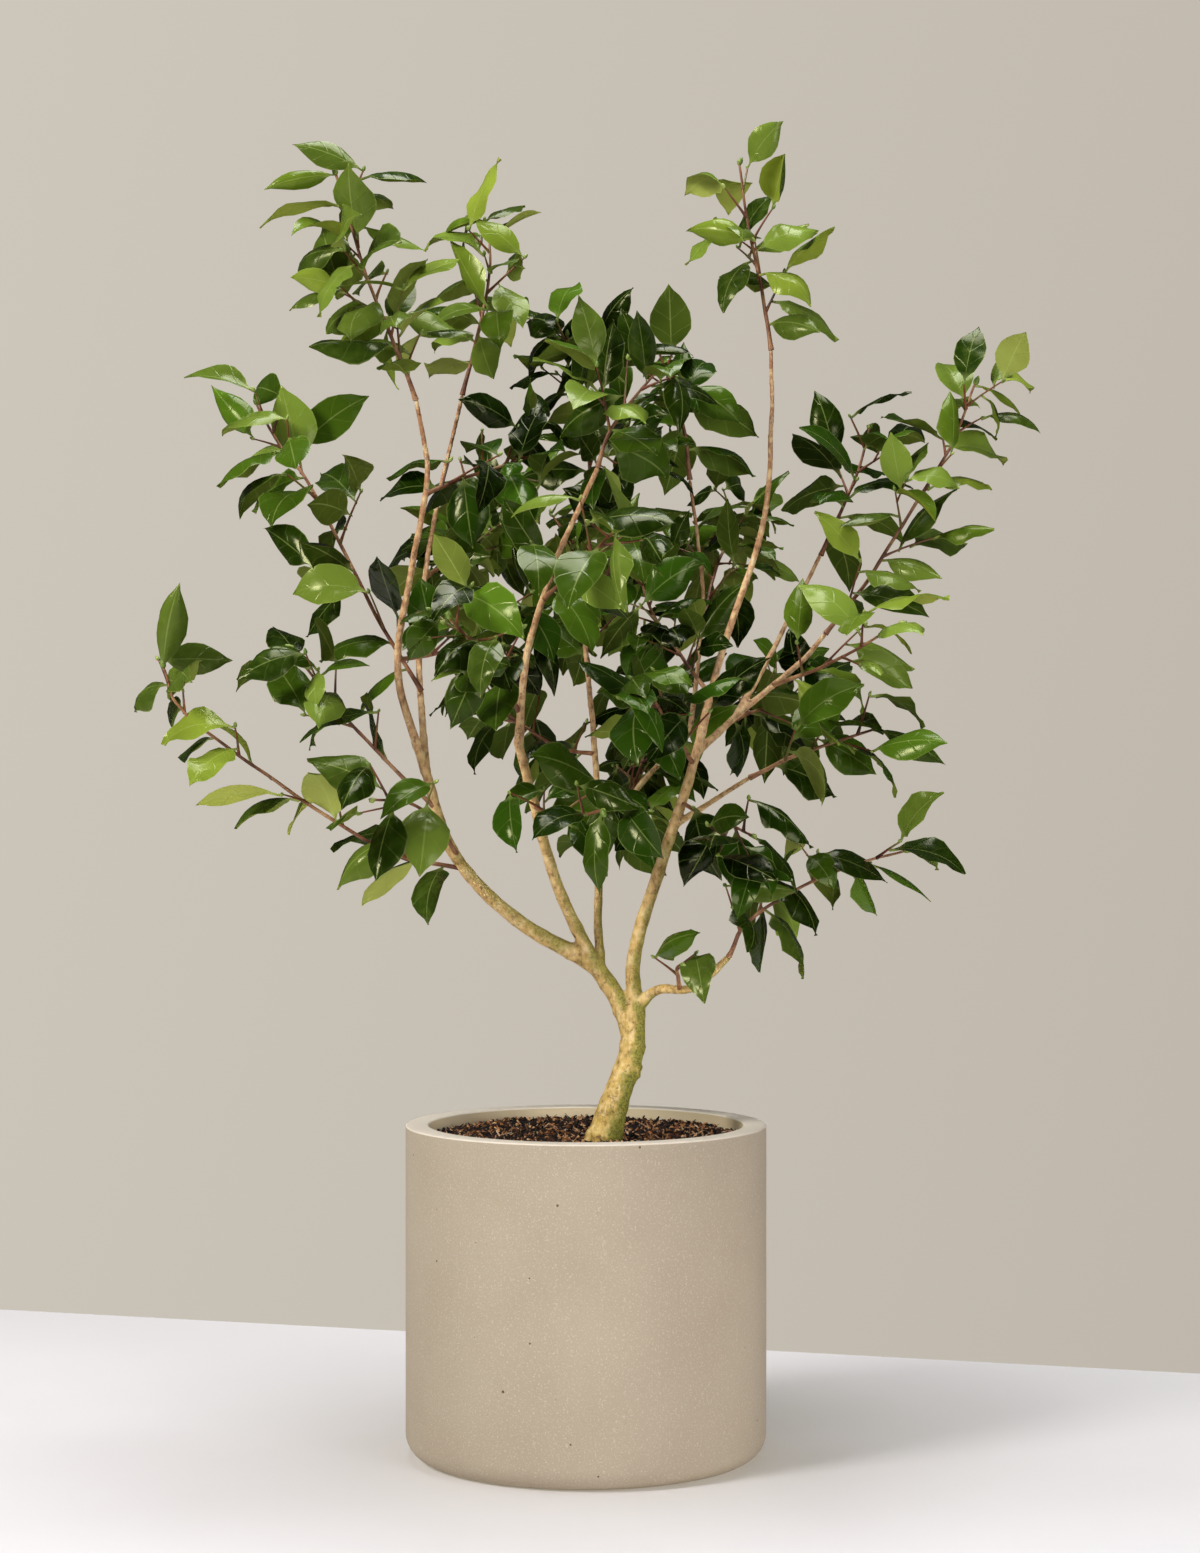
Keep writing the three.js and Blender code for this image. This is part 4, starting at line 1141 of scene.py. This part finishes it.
def grow_leaves(number, length, twigs, draw):
    path = SPRAYS[number][3]
    company = Company()
    twig_lines = np.array([[twig["start"], twig["tip"]] for twig in twigs]).reshape(-1, 2, 3)

    def has_room(leaf):
        if company.crowds(leaf):
            return False
        outline = leaf_outline(leaf)
        middles = np.array([leaf_point(leaf, at) for at in (0.3, 0.55, 0.8)])
        if not (fits(outline, number, LIMB_CLEARANCE) and fits(middles, number, MIDDLE_CLEARANCE)):
            return False
        if not leaf["may_hide"] and hides(leaf_grid(leaf)):
            return False
        points = np.concatenate([middles, outline])
        if nearest(points, STEM_LINES[number : number + 1])[0].min() <= TWIG_CLEARANCE:
            return False
        return not len(twig_lines) or nearest(points, twig_lines)[0].min() > TWIG_CLEARANCE

    for twig in twigs:
        for i, share in enumerate(TWIG["leaves"]):
            angle = i * math.pi + mix(-0.5, 0.5, draw())
            leaf = company.take_in(has_room, on_twig(twig, share), twig["leave"], angle, draw)
            if leaf:
                twig["reach"] = max(twig["reach"], share)
                leaf["young"] = share == 1
    count = round_half_up(length / LEAF["every"])
    for i in range(count + LEAF["at_tip"]):
        at = mix(TWIG["bare"] / length, 0.95, i / count) if i < count else 1 - 0.05 * (i - count)
        angle = i * GOLDEN_ANGLE + 2.6
        leaf = company.take_in(has_room, on_curve(path, at), heading_at(path, at), angle, draw)
        if leaf:
            leaf["young"] = leaf["at_tip"] = i >= count
    return company


# %% [markdown]
# ### Carrying the rule to finer twigs
# A real spray has smaller shoots between the main ones, with smaller leaves. They follow the same rule in
# the same space, with a little less room to each leaf.

# %% Finer twigs
FULLNESS = {  # share of the finer twigs that a spray keeps: fewer at the edge, most inside the crown
    0.0: ["left_low_spray", "left_hanging_spray", "left_upper_spray", "right_mid_spray", "right_low_tuft"],
    0.1: [
        "left_mid_spray", "top_left_spray", "top_left_inner_spray", "top_right_spray", "right_upper_spray",
        "right_inner_spray", "right_middle_spray", "right_low_spray", "right_front_low_spray",
        "centre_low_spray", "back_left_low_spray", "front_centre_spray", "crown_front_spray",
    ],
    0.3: [
        "crown_top_spray", "crown_right_spray", "crown_inner_spray", "front_left_spray", "front_right_spray",
        "back_left_spray", "back_low_spray", "back_centre_spray", "back_right_spray", "back_right_low_spray",
    ],
    0.5: ["inner_left_spray", "inner_low_spray", "centre_inner_spray"],
}
fullness_of = {spray: share for share, names in FULLNESS.items() for spray in names}
FINER = {
    "every": 23,  # between short twigs on the stem
    "length": (0.25, 0.62),  # of the spray's reach
    "side_shoots": (0.4, 0.7),  # where they leave a twig
    "shoot": (16, 34),  # length of a side shoot
    "short": 26,  # a shoot below this length has leaves at its tip alone
    "leaves": [1, 0.45, 0.75, 1],  # where along a finer twig they stand
    "leaf": (46, 74),
    "ease": 0.60,  # share of the usual room that a leaf needs
    "clearance": 1.2,
    "margin": 0.5,
}


def grow_finer(number, length, twigs, company, draw):
    name, _, reach, path = SPRAYS[number]
    finer = []

    def has_room(leaf):
        if company.crowds(leaf, FINER["ease"]):
            return False
        if not fits(leaf_outline(leaf), number, FINER["clearance"], FINER["margin"]):
            return False
        return leaf["may_hide"] or not hides(leaf_grid(leaf))

    def add_twig(start, heading, turn, far):
        twig = twig_from(start, heading, turn, far)
        if draw() > fullness_of[name]:
            return
        outer_half = np.array([(start + twig["tip"]) / 2, twig["tip"]])
        if not fits(outer_half, number, LIMB_CLEARANCE, FINER["margin"]):
            return
        for i, share in enumerate(FINER["leaves"]):
            if share < 1 and far < FINER["short"]:
                continue
            angle = i * math.pi + mix(-0.5, 0.5, draw())
            joint = on_twig(twig, share)
            leaf = company.take_in(has_room, joint, twig["leave"], angle, draw, FINER["leaf"])
            if leaf:
                twig["reach"] = max(twig["reach"], share)
                leaf["young"] = share == 1
        if twig["reach"]:
            finer.append(twig)

    for twig in twigs:
        for i, share in enumerate(FINER["side_shoots"]):
            turn, far = i * math.pi + draw() * 1.5, mix(*FINER["shoot"], draw())
            if share < twig["reach"]:
                add_twig(on_twig(twig, share), twig["leave"], turn, far)
    count = round_half_up(length / FINER["every"])
    for i in range(count):
        at = mix(TWIG["bare"] / length, 0.97, (i + 0.2) / count)
        far = reach * mix(*FINER["length"], draw())
        add_twig(on_curve(path, at), heading_at(path, at), i * GOLDEN_ANGLE + 1.3, far)
    return finer


# %% Growing all the sprays
FORK = np.array([50.0, -37, 452])
FORK_ROOM = 20  # how near to the fork a leaf may be seen before it


def before_fork(leaf):
    """Whether a leaf hangs before the fork of the trunk, which stays in sight whole."""
    return np.linalg.norm(seen(leaf_grid(leaf)) - seen(FORK), axis=1).min() < FORK_ROOM


sprays = []
for number, (name, seed, _, path) in enumerate(SPRAYS):
    draw = number_stream(seed)
    length = curve_length(path)
    twigs = grow_twigs(number, length, draw)
    company = grow_leaves(number, length, twigs, draw)
    rule_leaves = len(company.leaves)
    twigs = [twig for twig in twigs if twig["reach"]]
    finer = grow_finer(number, length, twigs, company, draw)
    leaves = [leaf for leaf in company.leaves if not before_fork(leaf)]
    sprays.append({
        "name": name, "path": path, "length": length, "twigs": twigs, "finer": finer, "leaves": leaves,
        "rule_leaves": rule_leaves,
    })
print("leaves of the rule:", sum(s["rule_leaves"] for s in sprays))
print("leaves in all:", sum(len(s["leaves"]) for s in sprays))
print("twigs:", sum(len(s["twigs"]) for s in sprays), "finer:", sum(len(s["finer"]) for s in sprays))

# %% [markdown]
# ## Stems and twigs
# The young wood is thin and round, red-brown, and a little swollen at every joint. The stems are one
# mesh of tubes and the twigs another, because they differ in bark.

# %% Stem and twig tubes
STEM_SLIMMED = 0.8  # the frame's stems are stouter, to hold together
SHOOT_RADII = {"twigs": (1.4, 0.85), "finer": (1.1, 0.75)}

stem_lines = []
twig_lines = []
for number, spray in enumerate(sprays):
    length = spray["length"]
    count = max(8, round(length / 7))
    share = np.linspace(0, 1, count + 1)
    radius = STEM_SLIMMED * radius_at(STEM, share) * (1 + 0.35 * np.exp(-share * length / 12))
    radius = radius * (1 + 0.10 * np.cos(share * length / 23 * 2 * math.pi) ** 8)
    wander = np.array([noise.noise_vector(Vector((number, s * length / 30, 3))) for s in share])
    stem_lines.append((curve_points(spray["path"], count) + wander * WOBBLE, radius))
    for kind, radii in SHOOT_RADII.items():
        for twig in spray[kind]:
            end = on_twig(twig, twig["reach"])
            far = np.linalg.norm(end - twig["start"])
            share = np.linspace(0, 1, 6)
            slight = away_from(twig["leave"], far) * math.sin(far) * 0.02 * far
            points = twig["start"] + (end - twig["start"]) * share[:, None]
            points = points + slight * np.sin(share * math.pi)[:, None]
            thick = mix(*radii, share) * (1 + 0.4 * np.exp(-share * far / 4))
            twig_lines.append((points, thick))
print("stems:", len(stem_lines), "twigs:", len(twig_lines))

# %% [markdown]
# ### The bark of young wood
# A stem of the last years is brown with a silvery bloom and fine dark streaks. A shoot of this year is
# smoother, and runs from red-brown to green.

# %% Young bark
STEM_TONES = [(0.32, "#54301f"), (0.5, "#8a5a3d"), (0.68, "#b98d62")]
young_bark, tree, shader, place = new_material("young_shoot_bark", 0.5)
tone = add_node(tree, "ValToRGB", [add_node(tree, "TexNoise", grain(place, 26, 3.0))], stops=STEM_TONES)
streak = add_node(tree, "TexNoise", grain(place, 3))
finish(tree, shader, coat(tree, tone, "#4f2f21", streak, 0.52, 0.7, 0.6), streak, 0.25)

SHOOT_TONES = [(0.35, "#4c2617"), (0.5, "#7a4426"), (0.66, "#6f6a30")]
shoot_bark, tree, shader, place = new_material("new_shoot_bark", 0.45)
tone = add_node(tree, "ValToRGB", [add_node(tree, "TexNoise", grain(place, 40, 3.0))], stops=SHOOT_TONES)
finish(tree, shader, tone, add_node(tree, "TexNoise", grain(place, 3, 3.0)), 0.2)

for name, lines, sides, material in [
    ("stems", stem_lines, 2, young_bark), ("twigs", twig_lines, 1, shoot_bark),
]:
    mesh = tubes(name, lines, sides)
    mesh.shade_smooth()
    wood = show(mesh, name, material)
    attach(wood, "root")
    print(name, triangles(wood))

# %% [markdown]
# ## The leaf
# A camellia leaf is thick and leathery, about twice as long as it is wide, with a short stalk, a tip
# drawn out to a point and fine teeth along its edge. It could be cut from a flat sheet, but a leaf has
# two sides of different colours, so it starts as an eight-sided tube pressed flat: two of the tube's
# edges are the margins, three lie in the upper face and three in the lower one. It has about ninety
# faces, because there are hundreds of leaves.

# %% One leaf, as a pressed tube
LEAF_ROWS = np.array([0, 0.06, 0.13, 0.20, 0.29, 0.39, 0.50, 0.61, 0.72, 0.83, 0.92, 1.0])
HALF_WIDTHS = np.array([0.022, 0.018, 0.085, 0.25, 0.39, 0.475, 0.495, 0.46, 0.375, 0.235, 0.095, 0.006])
ACROSS = np.array([1.0, 0.5, 0.0, -0.5, -1.0, -0.5, 0.0, 0.5])  # five places above, three below


def leaf_template():
    """The row and the column of every vertex, the corners of every face, and which faces are below."""
    shape = bmesh.new()
    bmesh.ops.create_cone(
        shape, cap_ends=True, cap_tris=False, segments=len(ACROSS), radius1=1.0, radius2=1.0, depth=1.0
    )
    long_edges = [e for e in shape.edges if abs((e.verts[0].co - e.verts[1].co).z) > 0.5]
    bmesh.ops.subdivide_edges(shape, edges=long_edges, cuts=len(LEAF_ROWS) - 2)
    shape.verts.index_update()
    turns = np.array([math.atan2(v.co.y, v.co.x) for v in shape.verts])
    row = np.array([round((v.co.z + 0.5) * (len(LEAF_ROWS) - 1)) for v in shape.verts])
    column = np.round((turns - turns.min()) / (2 * math.pi / len(ACROSS))).astype(int) % len(ACROSS)
    for face in shape.faces:
        face.material_index = int(any(column[v.index] > 4 for v in face.verts))
    _, faces, kinds = arrays_of(shape)
    shape.free()

    def outermost_first(face):
        """The corners from the one nearest to the margin on, so that every face above and the one below
        it are cut into triangles the same way, and never pass through each other."""
        start = max(range(len(face)), key=lambda i: (abs(ACROSS[column[face[i]]]), -row[face[i]]))
        return face[start:] + face[:start]

    return row, column, [outermost_first(face) for face in faces], kinds


leaf_row, leaf_column, leaf_faces, leaf_kinds = leaf_template()
print("faces of one leaf:", len(leaf_faces))

# %% [markdown]
# ### Bending the leaf
# No two leaves are alike. Each is turned a little about its own length, curled so that the tip hangs,
# folded along its rib, rolled at its margins and waved along them. The centre line is laid step by step
# along a heading that tips over more and more, so a leaf keeps its length however far it curls.


# %% Leaf shapes
HABIT = {  # each leaf draws its own value between the two
    "width": (0.82, 1.1),
    "upward": (0.0, 0.9),  # how far its face is tipped up
    "curl": (0.05, 1.25),
    "fold": (-0.15, 0.62),  # along the rib
    "roll": (-0.88, 0.08),  # of the margins
    "ripple": (0.0, 0.05),  # height of the waves along the margin, of the length
    "waves": (9, 15),
    "first_wave": (0, 6.3),
}
TURN, TWIST = 0.42, 0.45  # how much the leaves vary in their turn about the rib, and in their twist along it
SLIM = (0.66, 0.86, 1.0)  # width at the end of the stem, at the end of a twig and elsewhere
GROWN = 1.05  # a curled leaf is a little longer than it reaches
TOOTH = 0.012
THICKNESS = (1.5, 0.5)  # of the stalk and of the blade
GROOVE = 0.35  # depth of the rib's groove in the upper face


def by_age(leaf, at_end_of_stem, at_end_of_twig, elsewhere):
    if leaf.get("at_tip"):
        return at_end_of_stem
    return at_end_of_twig if leaf.get("young") else elsewhere


def unit_rows(vectors):
    return vectors / np.linalg.norm(vectors, axis=-1, keepdims=True)


def turned_about(first, second, angle):
    """Two square directions, turned by an angle in their own plane."""
    cosine, sine = np.cos(angle)[..., None], np.sin(angle)[..., None]
    return first * cosine + second * sine, second * cosine - first * sine


def bent_leaves(leaves, rng):
    """The vertices of every leaf, in metres: (leaves, vertices, 3)."""
    count = len(leaves)
    root, along, face = (np.array([leaf[name] for leaf in leaves]) for name in ("root", "along", "face"))
    length, arch = (np.array([leaf[name] for leaf in leaves])[:, None] for name in ("length", "arch"))
    length = length * GROWN
    slim = np.array([by_age(leaf, *SLIM) for leaf in leaves])

    def habit(name):
        return rng.uniform(*HABIT[name], count)[:, None]

    wide = LEAF["width"] * slim[:, None] * habit("width")
    face = unit_rows(face + UP * habit("upward"))
    normal = unit_rows(face - along * (face * along).sum(-1, keepdims=True))
    side, normal = turned_about(np.cross(along, normal), normal, rng.normal(0, TURN, count))

    at = LEAF_ROWS[None]
    heading = unit_rows(along[:, None] - UP * (2 * arch * at)[..., None])
    side = unit_rows(side[:, None] - heading * (side[:, None] * heading).sum(-1, keepdims=True))
    normal = np.cross(side, heading)
    curl = habit("curl") * at ** 1.5
    heading, normal = turned_about(heading, -normal, curl)
    normal = -normal
    side, normal = turned_about(side, normal, rng.normal(0, TWIST, count)[:, None] * (at - 0.1))
    strides = np.diff(LEAF_ROWS)[None, :, None] * length[..., None] * (heading[:, 1:] + heading[:, :-1]) / 2
    centre = np.concatenate([root[:, None], root[:, None] + np.cumsum(strides, 1)], 1)

    at, across = LEAF_ROWS[leaf_row][None], ACROSS[leaf_column][None]
    blade = np.clip((at - 0.1) / 0.12, 0, 1)
    tooth = np.where(leaf_row % 2 == 1, TOOTH, 0.0) * blade * (at < 0.9)
    half = (HALF_WIDTHS[leaf_row] + tooth * (np.abs(across) == 1)) * wide * length
    fold, roll = habit("fold") * (1 - 0.4 * at), habit("roll")
    ripple = habit("ripple") * np.sin(at * habit("waves") + habit("first_wave") + (across < 0) * 2.1)

    def section(across):
        """How far places across the blade lie to the side of the centre line, and above it."""
        lean = (fold + roll * np.abs(across) ** 1.5) * blade
        lifted = half * np.abs(across) * np.sin(lean) + ripple * length * across ** 2 * blade
        return half * across * np.cos(lean), lifted

    sideways, lifted = section(across)
    (inner_side, inner_lift), (outer_side, outer_lift) = section(across * 0.96), section(across * 1.04)
    outward = np.sign(across)
    slope = np.arctan2((outer_lift - inner_lift) * outward, (outer_side - inner_side) * outward)
    below = leaf_column > 4
    thickness = mix(*THICKNESS, blade) * np.clip((1 - at) * 10, 0.15, 1) * np.where(across == 0, 1.6, 1.0)
    sideways = sideways + np.where(below, thickness * np.sin(slope), 0.0)
    lifted = lifted - np.where(below, thickness * np.cos(slope), 0.0)
    lifted = lifted - np.where(~below & (across == 0), GROOVE * blade, 0)
    side, normal, centre = side[:, leaf_row], normal[:, leaf_row], centre[:, leaf_row]
    return (centre + side * sideways[..., None] + normal * lifted[..., None]) * MM


BOX_MARGIN = 0.0005  # in metres


def keep_inside(vertices, box, step=0.97):
    """Draws any leaf that passes the box back toward its root until it is inside."""
    low, high = np.array(box[0]) + BOX_MARGIN, np.array(box[1]) - BOX_MARGIN
    for _ in range(30):
        past = ((vertices < low) | (vertices > high)).any(axis=(1, 2))
        if not past.any():
            break
        roots = vertices[past][:, :1]
        vertices[past] = roots + (vertices[past] - roots) * step
    return vertices


# %% [markdown]
# ### Leaf colours
# The upper face is dark and waxy, with a pale rib and fainter veins, and the face below is a dull yellow
# green. Young leaves at the ends of shoots are lighter. The tones are dealt out by spray as painted light:
# darker deep in the shade of the crown, brighter at its edge where the light falls.

# %% Leaf materials
TONES = {  # name: upper face dark and light, lower face dark and light
    "deep": ("#030900", "#31500c", "#1c2b05", "#5c7024"),
    "green": ("#091501", "#4e6c17", "#384b0d", "#87943b"),
    "bright": ("#1e3107", "#788e33", "#5a6a1e", "#b1b95c"),
    "young": ("#4a6214", "#869733", "#839228", "#bdc45c"),
}


def veins(tree, uv):
    """The rib and the side veins at a place on the blade, from 0 to 1, and how far the place lies off the
    rib and along the blade."""
    along = add_node(tree, "SeparateXYZ", [uv], "X")
    off = add_node(tree, "Math", [along.node.outputs["Y"], 0.5], operation="SUBTRACT")
    off = add_node(tree, "Math", [off], operation="ABSOLUTE")
    rib = add_node(tree, "MapRange", [off, 0.008, 0.024, 1.0, 0.0])
    slanted = add_node(tree, "Math", [off, -0.42, along], operation="MULTIPLY_ADD")
    comb = add_node(tree, "Math", [slanted, 8.0], operation="MULTIPLY")
    comb = add_node(tree, "Math", [comb, 1.0], operation="PINGPONG")
    side_veins = add_node(tree, "MapRange", [comb, 0.0, 0.10, 1.0, 0.0])
    return rib, side_veins, off, along


def leaf_material(name, dark, light, below):
    label = "dull_lower_side" if below else "waxy_upper_side"
    material, tree, shader, place = new_material(f"{name}_{label}", 0.5 if below else 0.3)
    shader.inputs["Specular IOR Level"].default_value = 0.10 if below else 0.27
    shader.inputs["Specular Tint"].default_value = linear("#f5f5bc")
    own = add_node(tree, "Attribute", output="Fac", attribute_name="own_shade")
    rib, side_veins, off, along = veins(tree, add_node(tree, "UVMap", output="UV", uv_map="blade"))
    stalk = add_node(tree, "MapRange", [along, 0.10, 0.2, 1.0, 0.0])
    pale = add_node(tree, "Math", [rib, stalk], operation="MAXIMUM")
    mottle = add_node(tree, "TexNoise", grain(place, 12, 2.0))
    tone = add_node(tree, "ValToRGB", [own], stops=[(0.0, dark), (1.0, light)])
    tone = coat(tree, tone, light, mottle, 0.4, 0.7, 0.14)
    tone = coat(tree, tone, "#98a856", side_veins, 0.0, 1.0, 0.24 if below else 0.08)
    tone = coat(tree, tone, "#acba68", pale, 0.0, 1.0, 0.5 if below else 0.25)
    # A pale line along the margin: a painted highlight, the edge drawn as if lit.
    tone = coat(tree, tone, "#a9b864", off, 0.47, 0.5, 0.3)
    if not below:
        shine = add_node(tree, "MapRange", [mottle, 0.35, 0.7, 0.15, 0.27])
        tree.links.new(shine, shader.inputs["Roughness"])
    height = add_node(tree, "Math", [side_veins, -0.6, mottle], operation="MULTIPLY_ADD")
    finish(tree, shader, tone, height, 0.25)
    return material


leaf_finish = {}
for name, (dark, light, dark_below, light_below) in TONES.items():
    leaf_finish[name] = (
        leaf_material(name, dark, light, False), leaf_material(name, dark_below, light_below, True),
    )

# %% [markdown]
# ### Dealing out the tones
# Each spray has a main tone. Some of its leaves take the next lighter one: most of those at the end of
# the stem, many at the ends of twigs, and a few of the rest.

# %% Which spray has which tone
# Painted light: sprays inside the crown get the darker tones, and those at its edge the brighter ones.
SPRAY_TONES = {
    "deep": [
        "inner_left_spray", "inner_low_spray", "crown_inner_spray", "crown_right_spray",
        "centre_inner_spray", "centre_low_spray", "right_front_low_spray", "front_right_spray",
        "back_low_spray", "back_right_low_spray", "back_left_low_spray", "right_inner_spray",
    ],
    "green": [
        "left_hanging_spray", "left_mid_spray", "left_upper_spray", "crown_top_spray", "crown_front_spray",
        "right_mid_spray", "right_low_spray", "right_low_tuft", "front_left_spray", "front_centre_spray",
        "back_left_spray", "back_centre_spray", "back_right_spray",
    ],
    "bright": [
        "left_low_spray", "right_middle_spray", "top_left_spray", "top_left_inner_spray",
        "top_right_spray", "right_upper_spray",
    ],
}
tone_of = {spray: tone for tone, names in SPRAY_TONES.items() for spray in names}
LIGHTER = {"deep": "green", "green": "bright", "bright": "young"}
LIGHTER_SHARE = (0.75, 0.42, 0.12)  # at the end of the stem, at the end of a twig and elsewhere

dealt = {tone: [] for tone in TONES}
rng = np.random.default_rng(5)
for spray in sprays:
    tone = tone_of[spray["name"]]
    for leaf in spray["leaves"]:
        lighter = rng.uniform() < by_age(leaf, *LIGHTER_SHARE)
        dealt[LIGHTER[tone] if lighter else tone].append(leaf)
print({tone: len(leaves) for tone, leaves in dealt.items()})


# %% Leaf pieces
def sharpen_margins(mesh):
    """Marks the edges where the upper and the lower face meet."""
    edges = read_all(mesh.loops, "edge_index", kind=np.int32)
    kinds = read_all(mesh.polygons, "material_index", kind=np.int32)
    by_loop = np.repeat(kinds, read_all(mesh.polygons, "loop_total", kind=np.int32))
    most, least = np.zeros(len(mesh.edges), np.int32), np.ones(len(mesh.edges), np.int32)
    np.maximum.at(most, edges, by_loop)
    np.minimum.at(least, edges, by_loop)
    sharp = mesh.attributes.new("sharp_edge", "BOOLEAN", "EDGE")
    sharp.data.foreach_set("value", most > least)


leaf_uv = np.stack([LEAF_ROWS[leaf_row], 0.5 + ACROSS[leaf_column] / 2], 1)
replaced = {**SPRAY_TONES, "young": []}
for tone, leaves in dealt.items():
    shapes = keep_inside(bent_leaves(leaves, np.random.default_rng(len(leaves))), cad_box)
    shades = np.random.default_rng(1 + len(leaves)).uniform(0, 1, len(leaves)) ** 1.5
    mesh = joined(f"leaves_{tone}", shapes, leaf_faces, leaf_kinds, shades, leaf_uv)
    mesh.shade_smooth()
    sharpen_margins(mesh)
    piece = show(mesh, f"leaves_{tone}", *leaf_finish[tone])
    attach(piece, "root")
    if replaced[tone]:
        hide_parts(*replaced[tone])
    print(piece.name, triangles(piece))

# %% [markdown]
# ## Buds
# A plump pointed bud sits at the end of each shoot, yellow-green, wrapped in scales. One bud is a small
# ball drawn to a point.


# %% Bud shape and places
def bud_arrays():
    shape = bmesh.new()
    bmesh.ops.create_uvsphere(shape, u_segments=7, v_segments=5, radius=0.5)
    for vert in shape.verts:
        climb = vert.co.z + 0.5
        slim = 1 - 0.55 * climb ** 1.5
        vert.co.x *= 0.72 * slim
        vert.co.y *= 0.72 * slim
        vert.co.z = climb
    found = arrays_of(shape)
    shape.free()
    return found


bud_places, bud_faces, bud_kinds = bud_arrays()
BUD_SIZES = {"stem": (9.5, 6.5, 6.5), "twig": 6.0}  # a stem ends in one large bud between two lesser ones
BUD_SUNK = 0.6

rng = np.random.default_rng(23)
bud_spots = []
for spray in sprays:
    end, heading = on_curve(spray["path"], 1.0), heading_at(spray["path"], 1.0)
    bud_spots += [(end, heading, size) for size in BUD_SIZES["stem"]]
    for twig in spray["twigs"] + spray["finer"]:
        bud_spots.append((on_twig(twig, twig["reach"]), twig["leave"], BUD_SIZES["twig"]))
shapes = []
for end, heading, size in bud_spots:
    axis = unit(heading + rng.normal(0, 0.28, 3))
    first = away_from(axis, rng.uniform(0, 6.28))
    second = np.cross(axis, first)
    local = bud_places * size * rng.uniform(0.8, 1.2)
    turned = local[:, :1] * first + local[:, 1:2] * second + local[:, 2:] * axis
    shapes.append(turned + end - axis * BUD_SUNK)
shapes = keep_inside(np.array(shapes) * MM, cad_box)
bud_mesh = joined("buds", shapes, bud_faces, bud_kinds, rng.uniform(0, 1, len(shapes)))
bud_mesh.shade_smooth()
BUD_TONES = [(0.0, "#6f8a35"), (0.6, "#94ab48"), (1.0, "#b0bf62")]
bud_scale = shaded_by_copy("bud_scales", 0.42, BUD_TONES, 0.2, 2.0)
buds = show(bud_mesh, "buds", bud_scale)
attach(buds, "root")
print("buds:", len(bud_spots), "triangles:", triangles(buds))
